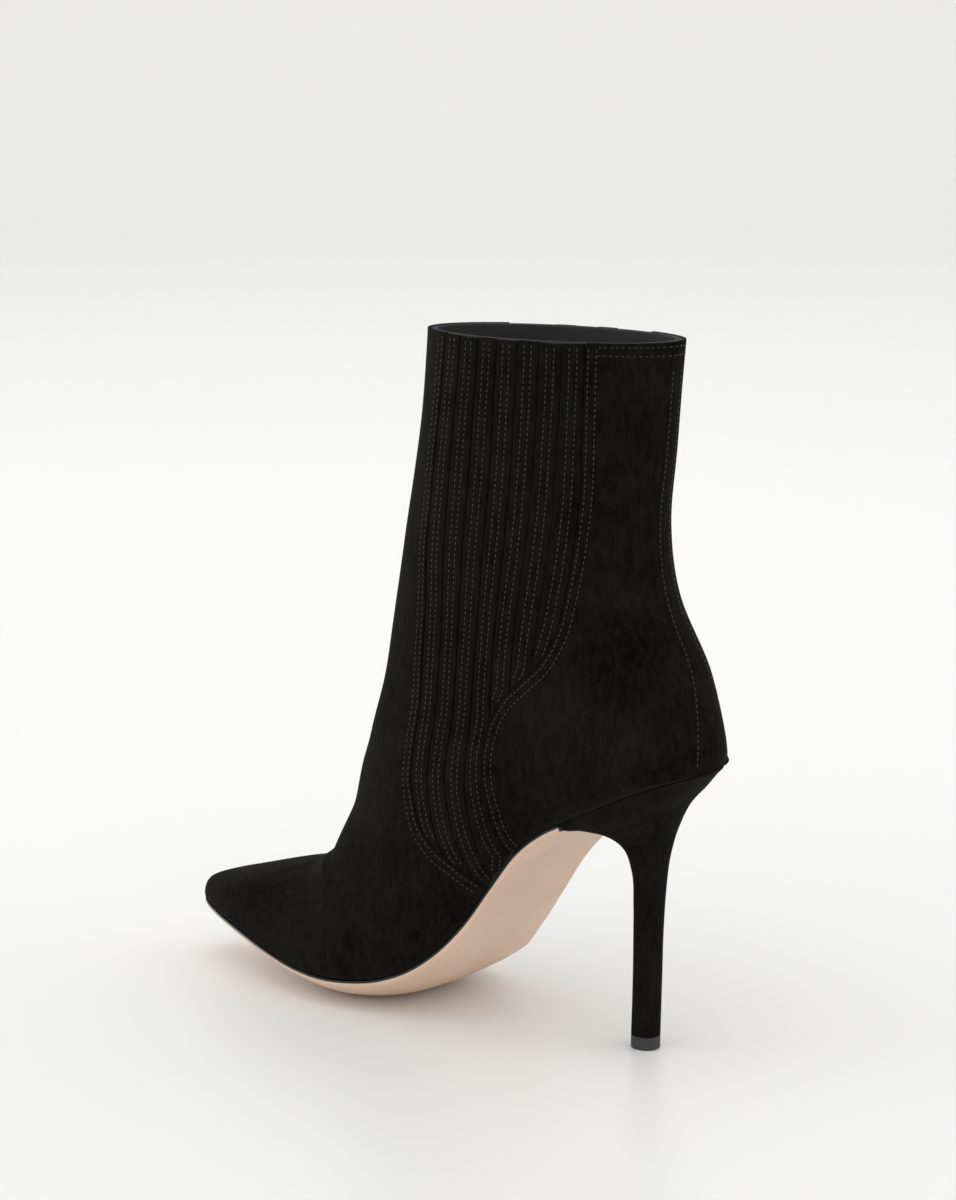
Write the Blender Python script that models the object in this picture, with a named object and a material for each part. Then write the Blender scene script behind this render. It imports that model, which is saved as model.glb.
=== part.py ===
"""Stiletto ankle bootie for the right foot: suede upper with strip gores, leather sole, covered heel.

X runs to the toe, Y to the wearer's left, Z up. The origin is the centre of the heel tip's underside.
"""
import bmesh
import bpy
import numpy as np

# Driving sizes, in metres
LENGTH = 0.217
SEAT_RISE = 0.100
COLLAR_RISE = 0.239
BALL_WIDTH = 0.0725
WALL = 0.0020
SOLE = 0.0024
INSOLE = 0.0016
INSOLE_EASE = 0.0006
INSOLE_LIFT = 0.0002
GAP = 0.0003
HEEL_AT = 0.1175
BREAST_AT = 0.218
TIP_RISE = 0.0045
TIP_LENGTH = 0.0096
TIP_WIDTH = 0.0094
GORE_DEPTH = 0.0012
STRIP = 0.0007
FACING = 0.0009
FACING_DEPTH = 0.018
BACK_DEPTH = 0.0008
BACK_STRIP = 0.0007
EDGE_OUT = 0.0004

# Shape values: power of the crown across the bottom, share of it that the top of the sole follows,
# share of COLLAR_RISE where both sides' gore lines agree, power of the front of the heel's D section
CROWN_POWER = 2.6
DISH = 0.55
LEVEL_AT = 0.46
D_POWER = 0.75

# Reach of the cutters from the middle plane, ahead of and behind the origin, and past what they cut
CUT_NEAR = 0.003
CUT_FAR = 0.080
CUT_SPARE = 0.001
CUT_BACK = -0.060
CUT_AHEAD = 0.020
PAST_EDGE = 0.8
PAST_COLLAR = 0.5
PAST_DROP = 1.4

# Half outline of the feather edge: place along the sole, medial and lateral half widths of BALL_WIDTH
OUTLINE = (
    (0.000, 0.000, 0.000),
    (0.061, 0.112, 0.112),
    (0.122, 0.204, 0.204),
    (0.184, 0.258, 0.258),
    (0.253, 0.281, 0.281),
    (0.312, 0.281, 0.281),
    (0.365, 0.281, 0.290),
    (0.402, 0.287, 0.320),
    (0.438, 0.308, 0.375),
    (0.475, 0.345, 0.446),
    (0.519, 0.390, 0.519),
    (0.559, 0.421, 0.563),
    (0.601, 0.428, 0.572),
    (0.645, 0.408, 0.535),
    (0.691, 0.364, 0.466),
    (0.743, 0.301, 0.375),
    (0.796, 0.234, 0.287),
    (0.850, 0.166, 0.199),
    (0.904, 0.102, 0.121),
    (1.000, 0.000, 0.000),
)

# Height of the feather edge: share of LENGTH from the back, medial and lateral shares of SEAT_RISE,
# and the crown across the bottom as a share of the half width
FEATHER = (
    (0.000, 1.000, 1.000, 0.00),
    (0.054, 0.960, 0.960, 0.00),
    (0.122, 0.895, 0.895, 0.00),
    (0.167, 0.845, 0.843, 0.00),
    (0.213, 0.793, 0.765, 0.00),
    (0.258, 0.738, 0.672, 0.02),
    (0.303, 0.655, 0.565, 0.04),
    (0.348, 0.525, 0.430, 0.06),
    (0.394, 0.382, 0.298, 0.09),
    (0.439, 0.272, 0.182, 0.13),
    (0.484, 0.195, 0.134, 0.18),
    (0.538, 0.141, 0.112, 0.235),
    (0.593, 0.117, 0.114, 0.27),
    (0.647, 0.109, 0.112, 0.285),
    (0.701, 0.117, 0.120, 0.275),
    (0.765, 0.139, 0.139, 0.235),
    (0.837, 0.167, 0.167, 0.20),
    (0.910, 0.190, 0.190, 0.18),
    (0.964, 0.202, 0.202, 0.18),
    (1.000, 0.207, 0.207, 0.18),
)

# Sections of the foot, each a line from the feather edge to the top: place along the sole, top point
# (shares of LENGTH and COLLAR_RISE), widest half widths (of BALL_WIDTH), where they lie, roundness
FOOT = (
    (1.00, 1.000, 0.101, 0.000, 0.000, 0.35, 2.0),
    (0.95, 0.989, 0.116, 0.069, 0.083, 0.35, 2.2),
    (0.88, 0.955, 0.129, 0.145, 0.172, 0.35, 2.2),
    (0.79, 0.896, 0.145, 0.255, 0.310, 0.33, 2.2),
    (0.69, 0.828, 0.163, 0.372, 0.476, 0.30, 2.2),
    (0.60, 0.778, 0.174, 0.441, 0.579, 0.28, 2.2),
    (0.52, 0.744, 0.184, 0.441, 0.552, 0.27, 2.2),
    (0.44, 0.710, 0.206, 0.421, 0.497, 0.30, 2.2),
    (0.36, 0.686, 0.244, 0.407, 0.448, 0.34, 2.2),
    (0.27, 0.665, 0.292, 0.407, 0.434, 0.38, 2.1),
    (0.17, 0.650, 0.350, 0.421, 0.434, 0.38, 2.1),
    (0.08, 0.631, 0.417, 0.421, 0.428, 0.34, 2.0),
    (0.00, 0.611, 0.483, 0.410, 0.414, 0.29, 2.0),
)

# Sections of the shaft: back point (shares of LENGTH and of the rise from seat to collar), front
# point (of LENGTH and COLLAR_RISE), half width, where it lies
SHAFT = (
    (0.0010, 0.084, 0.595, 0.554, 0.400, 0.37),
    (0.0240, 0.219, 0.580, 0.625, 0.386, 0.43),
    (0.0778, 0.391, 0.562, 0.708, 0.370, 0.50),
    (0.0945, 0.556, 0.544, 0.796, 0.352, 0.50),
    (0.0843, 0.756, 0.529, 0.892, 0.338, 0.50),
    (0.0715, 1.000, 0.520, 0.996, 0.331, 0.50),
)


def spline(places, values, at):
    """Smooth curve through a table's values, held at the ends of the table."""
    places = np.asarray(places, float)
    values = np.asarray(values, float)
    at = np.clip(np.asarray(at, float), places[0], places[-1])
    steps = np.diff(places)
    slopes = np.diff(values) / steps
    bends = np.empty_like(values)
    bends[1:-1] = (slopes[:-1] * steps[1:] + slopes[1:] * steps[:-1]) / (steps[1:] + steps[:-1])
    bends[0] = 2 * slopes[0] - bends[1]
    bends[-1] = 2 * slopes[-1] - bends[-2]
    k = np.clip(np.searchsorted(places, at, side="right") - 1, 0, len(places) - 2)
    step = steps[k]
    s = (at - places[k]) / step
    near = (2 * s**3 - 3 * s**2 + 1) * values[k] + (s**3 - 2 * s**2 + s) * step * bends[k]
    far = (3 * s**2 - 2 * s**3) * values[k + 1] + (s**3 - s**2) * step * bends[k + 1]
    return near + far


def column(table, index):
    return np.array([row[index] for row in table], float)


def station_x(along):
    """X of a place along the sole: 0 is the back of the seat, 1 the toe tip."""
    share = (1 - np.cos(np.pi * np.asarray(along, float))) / 2
    return (share - HEEL_AT) * LENGTH


def along_of(x):
    share = np.clip(np.asarray(x, float) / LENGTH + HEEL_AT, 0, 1)
    return np.arccos(1 - 2 * share) / np.pi


def half_widths(along):
    medial = spline(column(OUTLINE, 0), column(OUTLINE, 1), along) * BALL_WIDTH
    lateral = spline(column(OUTLINE, 0), column(OUTLINE, 2), along) * BALL_WIDTH
    return np.maximum(medial, 0), np.maximum(lateral, 0)


def feather(x, index):
    share = np.asarray(x, float) / LENGTH + HEEL_AT
    return spline(column(FEATHER, 0), column(FEATHER, index), share)


def across_of(x, y):
    """Place across the bottom: 0 at the lateral edge, 1 at the medial."""
    medial, lateral = half_widths(along_of(x))
    share = (np.asarray(y, float) + lateral) / np.maximum(medial + lateral, 1e-4)
    return np.clip(share, -EDGE_SPARE, 1 + EDGE_SPARE)


def seat_z(x, y):
    """Height of the bottom under the foot before its crown, ruled from edge to edge."""
    low = feather(x, 2) * SEAT_RISE
    high = feather(x, 1) * SEAT_RISE
    return low + (high - low) * across_of(x, y)


def crown(x, y):
    """Drop of the bottom below its edges."""
    medial, lateral = half_widths(along_of(x))
    depth = feather(x, 3) * (medial + lateral) / 2
    return depth * (1 - np.minimum(np.abs(2 * across_of(x, y) - 1), 1) ** CROWN_POWER)


def steepness(x):
    """Vertical thickness of a sloping layer against its true thickness."""
    rise = (feather(x + SLOPE_STEP, 1) - feather(x - SLOPE_STEP, 1)) * SEAT_RISE / (2 * SLOPE_STEP)
    return np.sqrt(1 + rise**2)


def above_seat(share):
    """Height of a share of the rise from the seat's back to the collar."""
    return SEAT_RISE + (COLLAR_RISE - SEAT_RISE) * share


def section(q):
    """Bottom point, top point, feather half widths, widest half widths, place, roundness at row q."""
    last = len(FOOT) - 1
    rows = np.arange(len(FOOT) + len(SHAFT))
    top_x = np.concatenate([column(FOOT, 1), column(SHAFT, 2)])
    top_z = np.concatenate([column(FOOT, 2), column(SHAFT, 3)])
    medial = np.concatenate([column(FOOT, 3), column(SHAFT, 4)])
    lateral = np.concatenate([column(FOOT, 4), column(SHAFT, 4)])
    place = np.concatenate([column(FOOT, 5), column(SHAFT, 5)])
    roundness = np.concatenate([column(FOOT, 6), np.full(len(SHAFT), SHAFT_ROUND)])
    if q <= last:
        along = np.clip(spline(rows[: last + 1], column(FOOT, 0), q), 0, 1)
        x = station_x(along)
        bottoms = (x, feather(x, 1) * SEAT_RISE), (x, feather(x, 2) * SEAT_RISE)
        edge = half_widths(along)
    else:
        back_x = np.concatenate([[0.0], column(SHAFT, 0)])
        back_z = np.concatenate([[0.0], column(SHAFT, 1)])
        x = (spline(rows[last:], back_x, q) - HEEL_AT) * LENGTH
        z = above_seat(spline(rows[last:], back_z, q))
        bottoms = (x, z), (x, z)
        edge = (0.0, 0.0)
    top = (spline(rows, top_x, q) - HEEL_AT) * LENGTH, spline(rows, top_z, q) * COLLAR_RISE
    wide = spline(rows, medial, q) * BALL_WIDTH, spline(rows, lateral, q) * BALL_WIDTH
    return bottoms, top, edge, wide, spline(rows, place, q), spline(rows, roundness, q)


def half_section(v, edge, wide, place, roundness):
    """Half width at the share v of the way up a section."""
    wide = max(wide, edge)
    low = edge + (wide - edge) * np.sqrt(np.maximum(0, 1 - ((place - np.minimum(v, place)) / place) ** 2))
    up = np.clip((v - place) / (1 - place), 0, 1)
    return np.where(v < place, low, wide * (1 - up ** roundness) ** (1 / roundness))


def upper_grid(rows, count):
    """Outer surface: a row per section, columns from the medial feather over the top to the lateral."""
    v = (1 - np.cos(np.pi * np.linspace(0, 1, count))) / 2
    grid = []
    for q in rows:
        bottoms, top, edge, wide, place, roundness = section(q)
        sides = []
        for (x, z), inner, outer, sign in zip(bottoms, edge, wide, (1, -1)):
            y = half_section(v, inner, outer, place, roundness) * sign
            sides.append(np.stack([x + (top[0] - x) * v, y, z + (top[1] - z) * v], 1))
        grid.append(np.concatenate([sides[0], sides[1][-2::-1]]))
    return np.array(grid)


def grid_normals(grid, heel_row):
    """Outward unit normals; level along the feather edge and the collar."""
    along = np.gradient(grid, axis=0)
    across = np.gradient(grid, axis=1)
    wrap = (grid[:, 1] - grid[:, -2]) / 2
    across[heel_row:, 0] = wrap[heel_row:]
    across[heel_row:, -1] = wrap[heel_row:]
    normals = np.cross(across, along)
    if np.allclose(grid[0], grid[0, ::-1]):
        top = grid.shape[1] // 2
        normals[0] += normals[0, ::-1]
        normals[0, top] = normals[0, top - 1]
    normals[heel_row:, 0] += normals[heel_row:, -1]
    normals[heel_row:, -1] = normals[heel_row:, 0]
    normals[: heel_row + 1, 0, 2] = 0
    normals[: heel_row + 1, -1, 2] = 0
    normals[-1, :, 2] = 0
    centre = grid.mean(1, keepdims=True)
    normals /= np.linalg.norm(normals, axis=2, keepdims=True)
    outward = np.sign(np.sum(normals * (grid - centre), axis=2).sum())
    return normals * outward


# Edges of the gore seen from the side, from above the collar to below the sole: shares of LENGTH from
# the back and of COLLAR_RISE
GORE_FRONT = (
    (0.434, 1.040), (0.443, 0.954), (0.451, 0.879), (0.459, 0.795), (0.465, 0.703), (0.469, 0.628),
    (0.474, 0.552), (0.480, 0.481), (0.484, 0.410), (0.478, 0.347), (0.456, 0.297), (0.422, 0.268),
    (0.387, 0.249), (0.355, 0.226), (0.332, 0.204), (0.310, 0.176),
)
GORE_BACK = (
    (0.175, 1.040), (0.179, 0.954), (0.181, 0.879), (0.184, 0.795), (0.192, 0.715), (0.200, 0.651),
    (0.210, 0.598), (0.230, 0.562), (0.262, 0.533), (0.297, 0.503), (0.324, 0.465), (0.333, 0.410),
    (0.325, 0.363), (0.313, 0.316), (0.303, 0.275), (0.294, 0.226), (0.287, 0.176),
)

# Lines between the strips: height, then the six places from the front, same shares
STRIP_LINES = (
    (1.040, 0.399, 0.362, 0.325, 0.287, 0.249, 0.212),
    (0.954, 0.406, 0.367, 0.329, 0.290, 0.251, 0.214),
    (0.879, 0.414, 0.373, 0.333, 0.294, 0.255, 0.218),
    (0.795, 0.420, 0.378, 0.337, 0.299, 0.260, 0.223),
    (0.703, 0.424, 0.384, 0.344, 0.306, 0.269, 0.231),
    (0.628, 0.428, 0.389, 0.350, 0.314, 0.277, 0.239),
    (0.552, 0.433, 0.395, 0.357, 0.322, 0.285, 0.246),
    (0.481, 0.441, 0.402, 0.364, 0.325, 0.286, 0.248),
    (0.410, 0.446, 0.408, 0.368, 0.320, 0.282, 0.248),
    (0.343, 0.441, 0.404, 0.364, 0.314, 0.278, 0.246),
    (0.297, 0.428, 0.390, 0.353, 0.304, 0.272, 0.242),
    (0.259, 0.405, 0.372, 0.342, 0.294, 0.266, 0.238),
    (0.218, 0.378, 0.352, 0.330, 0.284, 0.260, 0.234),
    (0.165, 0.345, 0.330, 0.316, 0.276, 0.254, 0.230),
)

# Half width of the strip down the back: share of the rise from seat to collar, share of BALL_WIDTH
BACK_EDGE = (
    (1.069, 0.050), (0.763, 0.050), (0.575, 0.052), (0.403, 0.058), (0.245, 0.078),
    (0.151, 0.108), (0.065, 0.132), (0.011, 0.142),
)

# Heel below the seat: back and front shares of SEAT_RISE in height, reach behind and before the
# heel's axis and half width as shares of BALL_WIDTH, share of the seat's outline kept
HEEL = (
    (0.926, 0.760, -0.272, 0.230, 0.236, 0.85),
    (0.862, 0.735, -0.196, 0.150, 0.174, 0.50),
    (0.780, 0.690, -0.146, 0.095, 0.118, 0.20),
    (0.690, 0.610, -0.111, 0.066, 0.086, 0.00),
    (0.560, 0.490, -0.088, 0.058, 0.072, 0.00),
    (0.420, 0.410, -0.077, 0.058, 0.068, 0.00),
    (0.250, 0.250, -0.072, 0.059, 0.066, 0.00),
)

ROWS = 38
COLUMNS = 11
SOLE_COLUMNS = 9
FRONT_POINTS = 3
GORE_POINTS = 17
STRIP_POINTS = 11
TIP_POINTS = 11
FACING_ROWS = 5
SKIN = 0.0010
MERGE = 0.000005
SLOPE_STEP = 0.001
SAME_PLACE = 0.001
EDGE_SPARE = 0.1
SHAFT_ROUND = 2.0


def material(name, colour, roughness):
    made = bpy.data.materials.new(name)
    made.use_nodes = True
    shader = made.node_tree.nodes["Principled BSDF"]
    shader.inputs["Base Color"].default_value = (*colour, 1)
    shader.inputs["Roughness"].default_value = roughness
    return made


def mesh_object(name, points, faces, look):
    mesh = bpy.data.meshes.new(name)
    mesh.from_pydata([tuple(p) for p in points], [], faces)
    work = bmesh.new()
    work.from_mesh(mesh)
    bmesh.ops.recalc_face_normals(work, faces=work.faces)
    work.to_mesh(mesh)
    work.free()
    mesh.materials.append(look)
    for face in mesh.polygons:
        face.use_smooth = True
    made = bpy.data.objects.new(name, mesh)
    bpy.context.scene.collection.objects.link(made)
    return made


def weld(grid):
    """Index of each grid point, the same for points that coincide."""
    seen = {}
    index = np.empty(grid.shape[:2], int)
    keep = []
    for i in range(grid.shape[0]):
        for j in range(grid.shape[1]):
            key = tuple(np.round(grid[i, j], 7))
            if key not in seen:
                seen[key] = len(keep)
                keep.append((i, j))
            index[i, j] = seen[key]
    return index, keep


def between(name, outer, inner, look):
    """Closed solid between two grids that match point for point."""
    index, keep = weld(outer)
    count = len(keep)
    points = [outer[i, j] for i, j in keep] + [inner[i, j] for i, j in keep]
    sheet = []
    for i in range(index.shape[0] - 1):
        for j in range(index.shape[1] - 1):
            a, b = index[i, j], index[i, j + 1]
            c, d = index[i + 1, j + 1], index[i + 1, j]
            sheet += [f for f in ((a, b, c), (a, c, d)) if len(set(f)) == 3]
    uses = {}
    for face in sheet:
        for a, b in zip(face, face[1:] + face[:1]):
            uses.setdefault(frozenset((a, b)), []).append((a, b))
    faces = list(sheet) + [tuple(k + count for k in reversed(face)) for face in sheet]
    for edges in uses.values():
        if len(edges) == 1:
            a, b = edges[0]
            faces += [(b, a, a + count), (b, a + count, b + count)]
    return mesh_object(name, points, faces, look)


def prism(name, outline, axis, start, end, look):
    """Solid of an outline in a vertical plane, pushed along X (axis 0) or Y (axis 1)."""
    points = []
    for place in (start, end):
        for a, z in outline:
            points.append((place, a, z) if axis == 0 else (a, place, z))
    count = len(outline)
    faces = [tuple(range(count)), tuple(range(2 * count - 1, count - 1, -1))]
    for k in range(count):
        after = (k + 1) % count
        faces.append((k, after, after + count, k + count))
    return mesh_object(name, points, faces, look)


def copy_of(source, name):
    made = source.copy()
    made.data = source.data.copy()
    made.name = name
    made.data.name = name
    bpy.context.scene.collection.objects.link(made)
    return made


def boolean(target, cutter, operation):
    step = target.modifiers.new("cut", "BOOLEAN")
    step.operation = operation
    step.solver = "EXACT"
    step.object = cutter
    graph = bpy.context.evaluated_depsgraph_get()
    result = bpy.data.meshes.new_from_object(target.evaluated_get(graph))
    target.modifiers.clear()
    old = target.data
    work = bmesh.new()
    work.from_mesh(result)
    bmesh.ops.remove_doubles(work, verts=work.verts, dist=MERGE)
    bmesh.ops.dissolve_degenerate(work, dist=MERGE, edges=work.edges)
    work.to_mesh(result)
    work.free()
    result.name = target.name
    target.data = result
    bpy.data.meshes.remove(old)


def discard(thing):
    mesh = thing.data
    bpy.data.objects.remove(thing)
    bpy.data.meshes.remove(mesh)


def smooth_line(points, count):
    """Even points along a smooth curve through a table of side view shares, in metres."""
    table = np.array(points, float) * (LENGTH, COLLAR_RISE) - (HEEL_AT * LENGTH, 0)
    run = np.concatenate([[0], np.cumsum(np.linalg.norm(np.diff(table, axis=0), axis=1))])
    at = np.linspace(0, run[-1], count)
    return np.stack([spline(run, table[:, 0], at), spline(run, table[:, 1], at)], 1)


def beside(line, distance):
    """The line moved by a distance to the left of its run."""
    run = np.gradient(line, axis=0)
    run /= np.linalg.norm(run, axis=1, keepdims=True)
    return line + np.stack([-run[:, 1], run[:, 0]], 1) * distance


def for_side(line, side):
    """Side view line as it lies on a side: the lateral edge of the sole is lower than the medial."""
    if side > 0:
        return line
    x, z = line[:, 0], line[:, 1]
    medial = feather(x, 1) * SEAT_RISE
    drop = medial - feather(x, 2) * SEAT_RISE
    high = LEVEL_AT * COLLAR_RISE
    share = np.clip((high - z) / np.maximum(high - medial, 0.01), 0, PAST_DROP)
    return np.stack([x, z - drop * share], 1)


def gore_outline(side, inset):
    front = beside(for_side(smooth_line(GORE_FRONT, GORE_POINTS), side), -inset)
    back = beside(for_side(smooth_line(GORE_BACK, GORE_POINTS), side), inset)
    return np.concatenate([front, back[::-1]])


def strip_outline(side, k):
    """Outline of strip k from the front; it runs past the gore's own edges, which trim it."""
    heights = column(STRIP_LINES, 0)
    lines = [np.stack([column(STRIP_LINES, n + 1), heights], 1) for n in range(6)]
    ahead = 2 * lines[0] - lines[5]
    behind = 2 * lines[5] - lines[0]
    lines = [ahead] + lines + [behind]
    front = beside(for_side(smooth_line(lines[k], STRIP_POINTS), side), -GAP)
    back = beside(for_side(smooth_line(lines[k + 1], STRIP_POINTS), side), GAP)
    return np.concatenate([front, back[::-1]])


def one_side(grid, normals, side):
    """The medial or the lateral half of the surface, with its columns from the feather edge up."""
    if side > 0:
        return grid[:, :COLUMNS], normals[:, :COLUMNS]
    return grid[:, : COLUMNS - 2 : -1], normals[:, : COLUMNS - 2 : -1]


def stretched(grid, normals, heel_row, side):
    """One half of the surface, carried past the feather edge and the collar for a cutter."""
    points, ways = one_side(grid, normals, side)
    past = points[:, :1].copy()
    past[:heel_row] += (points[:heel_row, :1] - points[:heel_row, 1:2]) * PAST_EDGE
    points = np.concatenate([past, points], 1)
    ways = np.concatenate([ways[:, :1], ways], 1)
    points = np.concatenate([points, points[-1:] + (points[-1:] - points[-2:-1]) * PAST_COLLAR])
    ways = np.concatenate([ways, ways[-1:]])
    return points, ways


def make_upper(grid, normals, heel_row, suede):
    upper = between("upper", grid, inner_wall(grid, normals, heel_row), suede)
    for side in (1, -1):
        points, ways = stretched(grid, normals, heel_row, side)
        layer = between("gore_layer", points + ways * SKIN, points - ways * GORE_DEPTH, suede)
        shape = prism("gore_shape", gore_outline(side, 0), 1, CUT_NEAR * side, CUT_FAR * side, suede)
        boolean(layer, shape, "INTERSECT")
        boolean(upper, layer, "DIFFERENCE")
        discard(shape)
        discard(layer)
    tall = np.concatenate([grid, grid[-1:] + (grid[-1:] - grid[-2:-1]) * PAST_COLLAR])
    ways = np.concatenate([normals, normals[-1:]])
    layer = between("back_layer", tall + ways * SKIN, tall - ways * BACK_DEPTH, suede)
    shape = prism("back_shape", back_outline(GAP), 0, CUT_BACK, CUT_AHEAD, suede)
    boolean(layer, shape, "INTERSECT")
    boolean(upper, layer, "DIFFERENCE")
    discard(shape)
    discard(layer)
    return upper


def inner_wall(grid, normals, heel_row):
    """The inside of the upper; its lower rim follows the ruled bottom."""
    inner = grid - normals * WALL
    for j in (0, -1):
        rim = inner[: heel_row + 1, j]
        rim[:, 2] = seat_z(rim[:, 0], rim[:, 1])
    return inner


def back_outline(extra):
    heights = column(BACK_EDGE, 0)
    at = np.linspace(heights[0], heights[-1], STRIP_POINTS)
    half = np.interp(-at, -heights, column(BACK_EDGE, 1)) * BALL_WIDTH + extra
    up = np.stack([half, above_seat(at)], 1)
    up[-1, 1] -= extra
    return np.concatenate([up, (up * (-1, 1))[::-1]])


def make_strips(grid, normals, side, suede):
    points, ways = one_side(grid, normals, side)
    top = points - ways * (GORE_DEPTH - GAP - STRIP)
    layer = between("strip_layer", top, points - ways * (GORE_DEPTH - GAP), suede)
    shape = prism("strip_gore", gore_outline(side, GAP), 1, CUT_NEAR * side, CUT_FAR * side, suede)
    boolean(layer, shape, "INTERSECT")
    discard(shape)
    word = "medial" if side > 0 else "lateral"
    near = (CUT_NEAR - CUT_SPARE) * side
    far = (CUT_FAR + CUT_SPARE) * side
    for k in range(7):
        strip = copy_of(layer, "gore_strip_%s_%d" % (word, k + 1))
        band = prism("band", strip_outline(side, k), 1, near, far, suede)
        boolean(strip, band, "INTERSECT")
        discard(band)
    discard(layer)


def make_back_strip(grid, normals, suede):
    top = grid + normals * (GAP + BACK_STRIP - BACK_DEPTH)
    strip = between("back_strip", top, grid - normals * (BACK_DEPTH - GAP), suede)
    shape = prism("back_shape", back_outline(0), 0, CUT_BACK, CUT_AHEAD, suede)
    boolean(strip, shape, "INTERSECT")
    discard(shape)


def plan_edge(along, inset):
    """Medial and lateral edge points in plan, moved inwards."""
    x = station_x(along)
    medial, lateral = half_widths(along)
    loop = np.concatenate([np.stack([x, medial], 1), np.stack([x, -lateral], 1)[-2:0:-1]])
    run = np.roll(loop, -1, 0) - np.roll(loop, 1, 0)
    run /= np.linalg.norm(run, axis=1, keepdims=True)
    loop = loop + np.stack([run[:, 1], -run[:, 0]], 1) * inset
    count = len(along)
    other = np.concatenate([loop[:1], loop[: count - 2 : -1]])
    return loop[:count], other


def bottom_grid(along, inset, top, drop):
    """Grid under the foot: rows along, columns across, a thickness above the ruled bottom."""
    medial, lateral = plan_edge(along, inset)
    s = (1 - np.cos(np.pi * np.linspace(0, 1, SOLE_COLUMNS)))[None, :, None] / 2
    plan = lateral[:, None] * (1 - s) + medial[:, None] * s
    x, y = plan[..., 0], plan[..., 1]
    z = seat_z(x, y) + top * steepness(x) - crown(x, y) * drop
    return np.stack([x, y, z], 2)


def foot_alongs(rows):
    """Places along the sole of the upper's rows, from the back to the toe."""
    last = len(FOOT) - 1
    foot = rows[rows <= last]
    return np.clip(spline(np.arange(last + 1), column(FOOT, 0), foot), 0, 1)[::-1]


def breast_along(extra):
    return along_of(np.array((BREAST_AT - HEEL_AT) * LENGTH + extra))


def upper_rows():
    """Rows of the upper, with the one nearest the heel's breast moved onto it."""
    last = len(FOOT) + len(SHAFT) - 1
    foot_rows = int(round(ROWS * (len(FOOT) - 1) / last))
    foot = np.linspace(0, len(FOOT) - 1, foot_rows + 1)
    fine = np.linspace(0, len(FOOT) - 1, 2000)
    alongs = spline(np.arange(len(FOOT)), column(FOOT, 0), fine)
    at_breast = np.interp(-breast_along(0), -alongs, fine)
    foot[np.argmin(np.abs(foot - at_breast))] = at_breast
    shaft = np.linspace(len(FOOT) - 1, last, ROWS - foot_rows + 1)[1:]
    return np.concatenate([foot, shaft]), foot_rows


def make_bottom(along, leather, lining):
    breast = breast_along(GAP)
    behind = along[along < breast]
    split = np.concatenate([behind, [breast], along[along > breast]])
    start = len(behind)
    top = bottom_grid(split, -EDGE_OUT, -GAP, DISH)[start:]
    low = bottom_grid(split, -EDGE_OUT, -SOLE, 1)[start:]
    low[..., 2] = np.maximum(low[..., 2], 0)
    between("outsole", top, low, leather)
    inset = WALL + GAP + INSOLE_EASE
    top = bottom_grid(along, inset, INSOLE, DISH)
    between("insole", top, bottom_grid(along, inset, INSOLE_LIFT, DISH), lining)


def heel_half(count):
    """Half of the heel's D section, round behind and flatter ahead: share from the back, half width."""
    turn = np.linspace(0, np.pi, count)
    ahead = turn > np.pi / 2
    u = np.where(ahead, (1 + np.abs(np.cos(turn)) ** D_POWER) / 2, (1 - np.cos(turn)) / 2)
    w = np.where(ahead, np.abs(np.sin(turn)) ** D_POWER, np.sin(turn))
    w[-1] = 0
    return u, w


def whole_ring(u, w):
    """Both halves of a section, from the back round the medial side and home."""
    return np.concatenate([u, u[-2:0:-1]]), np.concatenate([w, -w[-2:0:-1]])


def tip_ring(count, z):
    u, w = whole_ring(*heel_half(count))
    return np.stack([(u - 0.5) * TIP_LENGTH, w * TIP_WIDTH / 2, np.full(len(u), z)], 1)


def heel_rings(along):
    """Rings from the seat down to the top piece."""
    breast = breast_along(0)
    along = np.append(along[along < breast - SAME_PLACE], breast)
    x = station_x(along)
    half, _ = half_widths(along)
    x = np.concatenate([x, [x[-1]] * FRONT_POINTS])
    y = np.concatenate([half, half[-1] * np.linspace(1, 0, FRONT_POINTS + 1)[1:]])
    seat = (x - x[0]) / (x[-1] - x[0]), y / half[-1]
    stem = heel_half(len(x))
    ring_x, ring_y = whole_ring(x, y)
    ruled = seat_z(ring_x, ring_y)
    lean = ruled - seat_z(ring_x, np.abs(ring_y))
    rings = []
    for drop in (GAP, SOLE):
        rings.append(np.stack([ring_x, ring_y, ruled - drop * steepness(ring_x)], 1))
    for row in HEEL:
        ring = stem_ring(seat, stem, *row)
        ring[:, 2] += lean * row[-1]
        rings.append(ring)
    rings.append(tip_ring(len(x), TIP_RISE + GAP))
    return rings


def stem_ring(seat, stem, back_z, front_z, back, ahead, wide, keep):
    u = seat[0] * keep + stem[0] * (1 - keep)
    w = seat[1] * keep + stem[1] * (1 - keep)
    u, w = whole_ring(u, w)
    x = (back + (ahead - back) * u) * BALL_WIDTH
    z = (back_z + (front_z - back_z) * u) * SEAT_RISE
    return np.stack([x, w * wide * BALL_WIDTH, z], 1)


def ring_solid(name, rings, look):
    """Closed solid through rings; each end is fanned in cells across, the last as far as the front."""
    count = len(rings[0])
    points = list(np.concatenate(rings))
    faces = []
    for n in range(len(rings) - 1):
        for k in range(count):
            after = (k + 1) % count
            a, b = n * count + k, n * count + after
            faces += [(a, b, b + count), (a, b + count, a + count)]
    last = count // 2 - FRONT_POINTS
    for base in (0, (len(rings) - 1) * count):
        for k in range(last):
            stop = k + 1 if k < last - 1 else count // 2
            run = list(range(k, stop + 1)) + list(range(count - stop, count - k + 1))
            cell = [base + c % count for c in dict.fromkeys(r % count for r in run)]
            corners = [base + k, base + k + 1, base + count - k - 1, base + (count - k) % count]
            points.append(np.mean([points[c] for c in corners], 0))
            centre = len(points) - 1
            for c, d in zip(cell, cell[1:] + cell[:1]):
                faces.append((centre, c, d))
    return mesh_object(name, points, faces, look)


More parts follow.
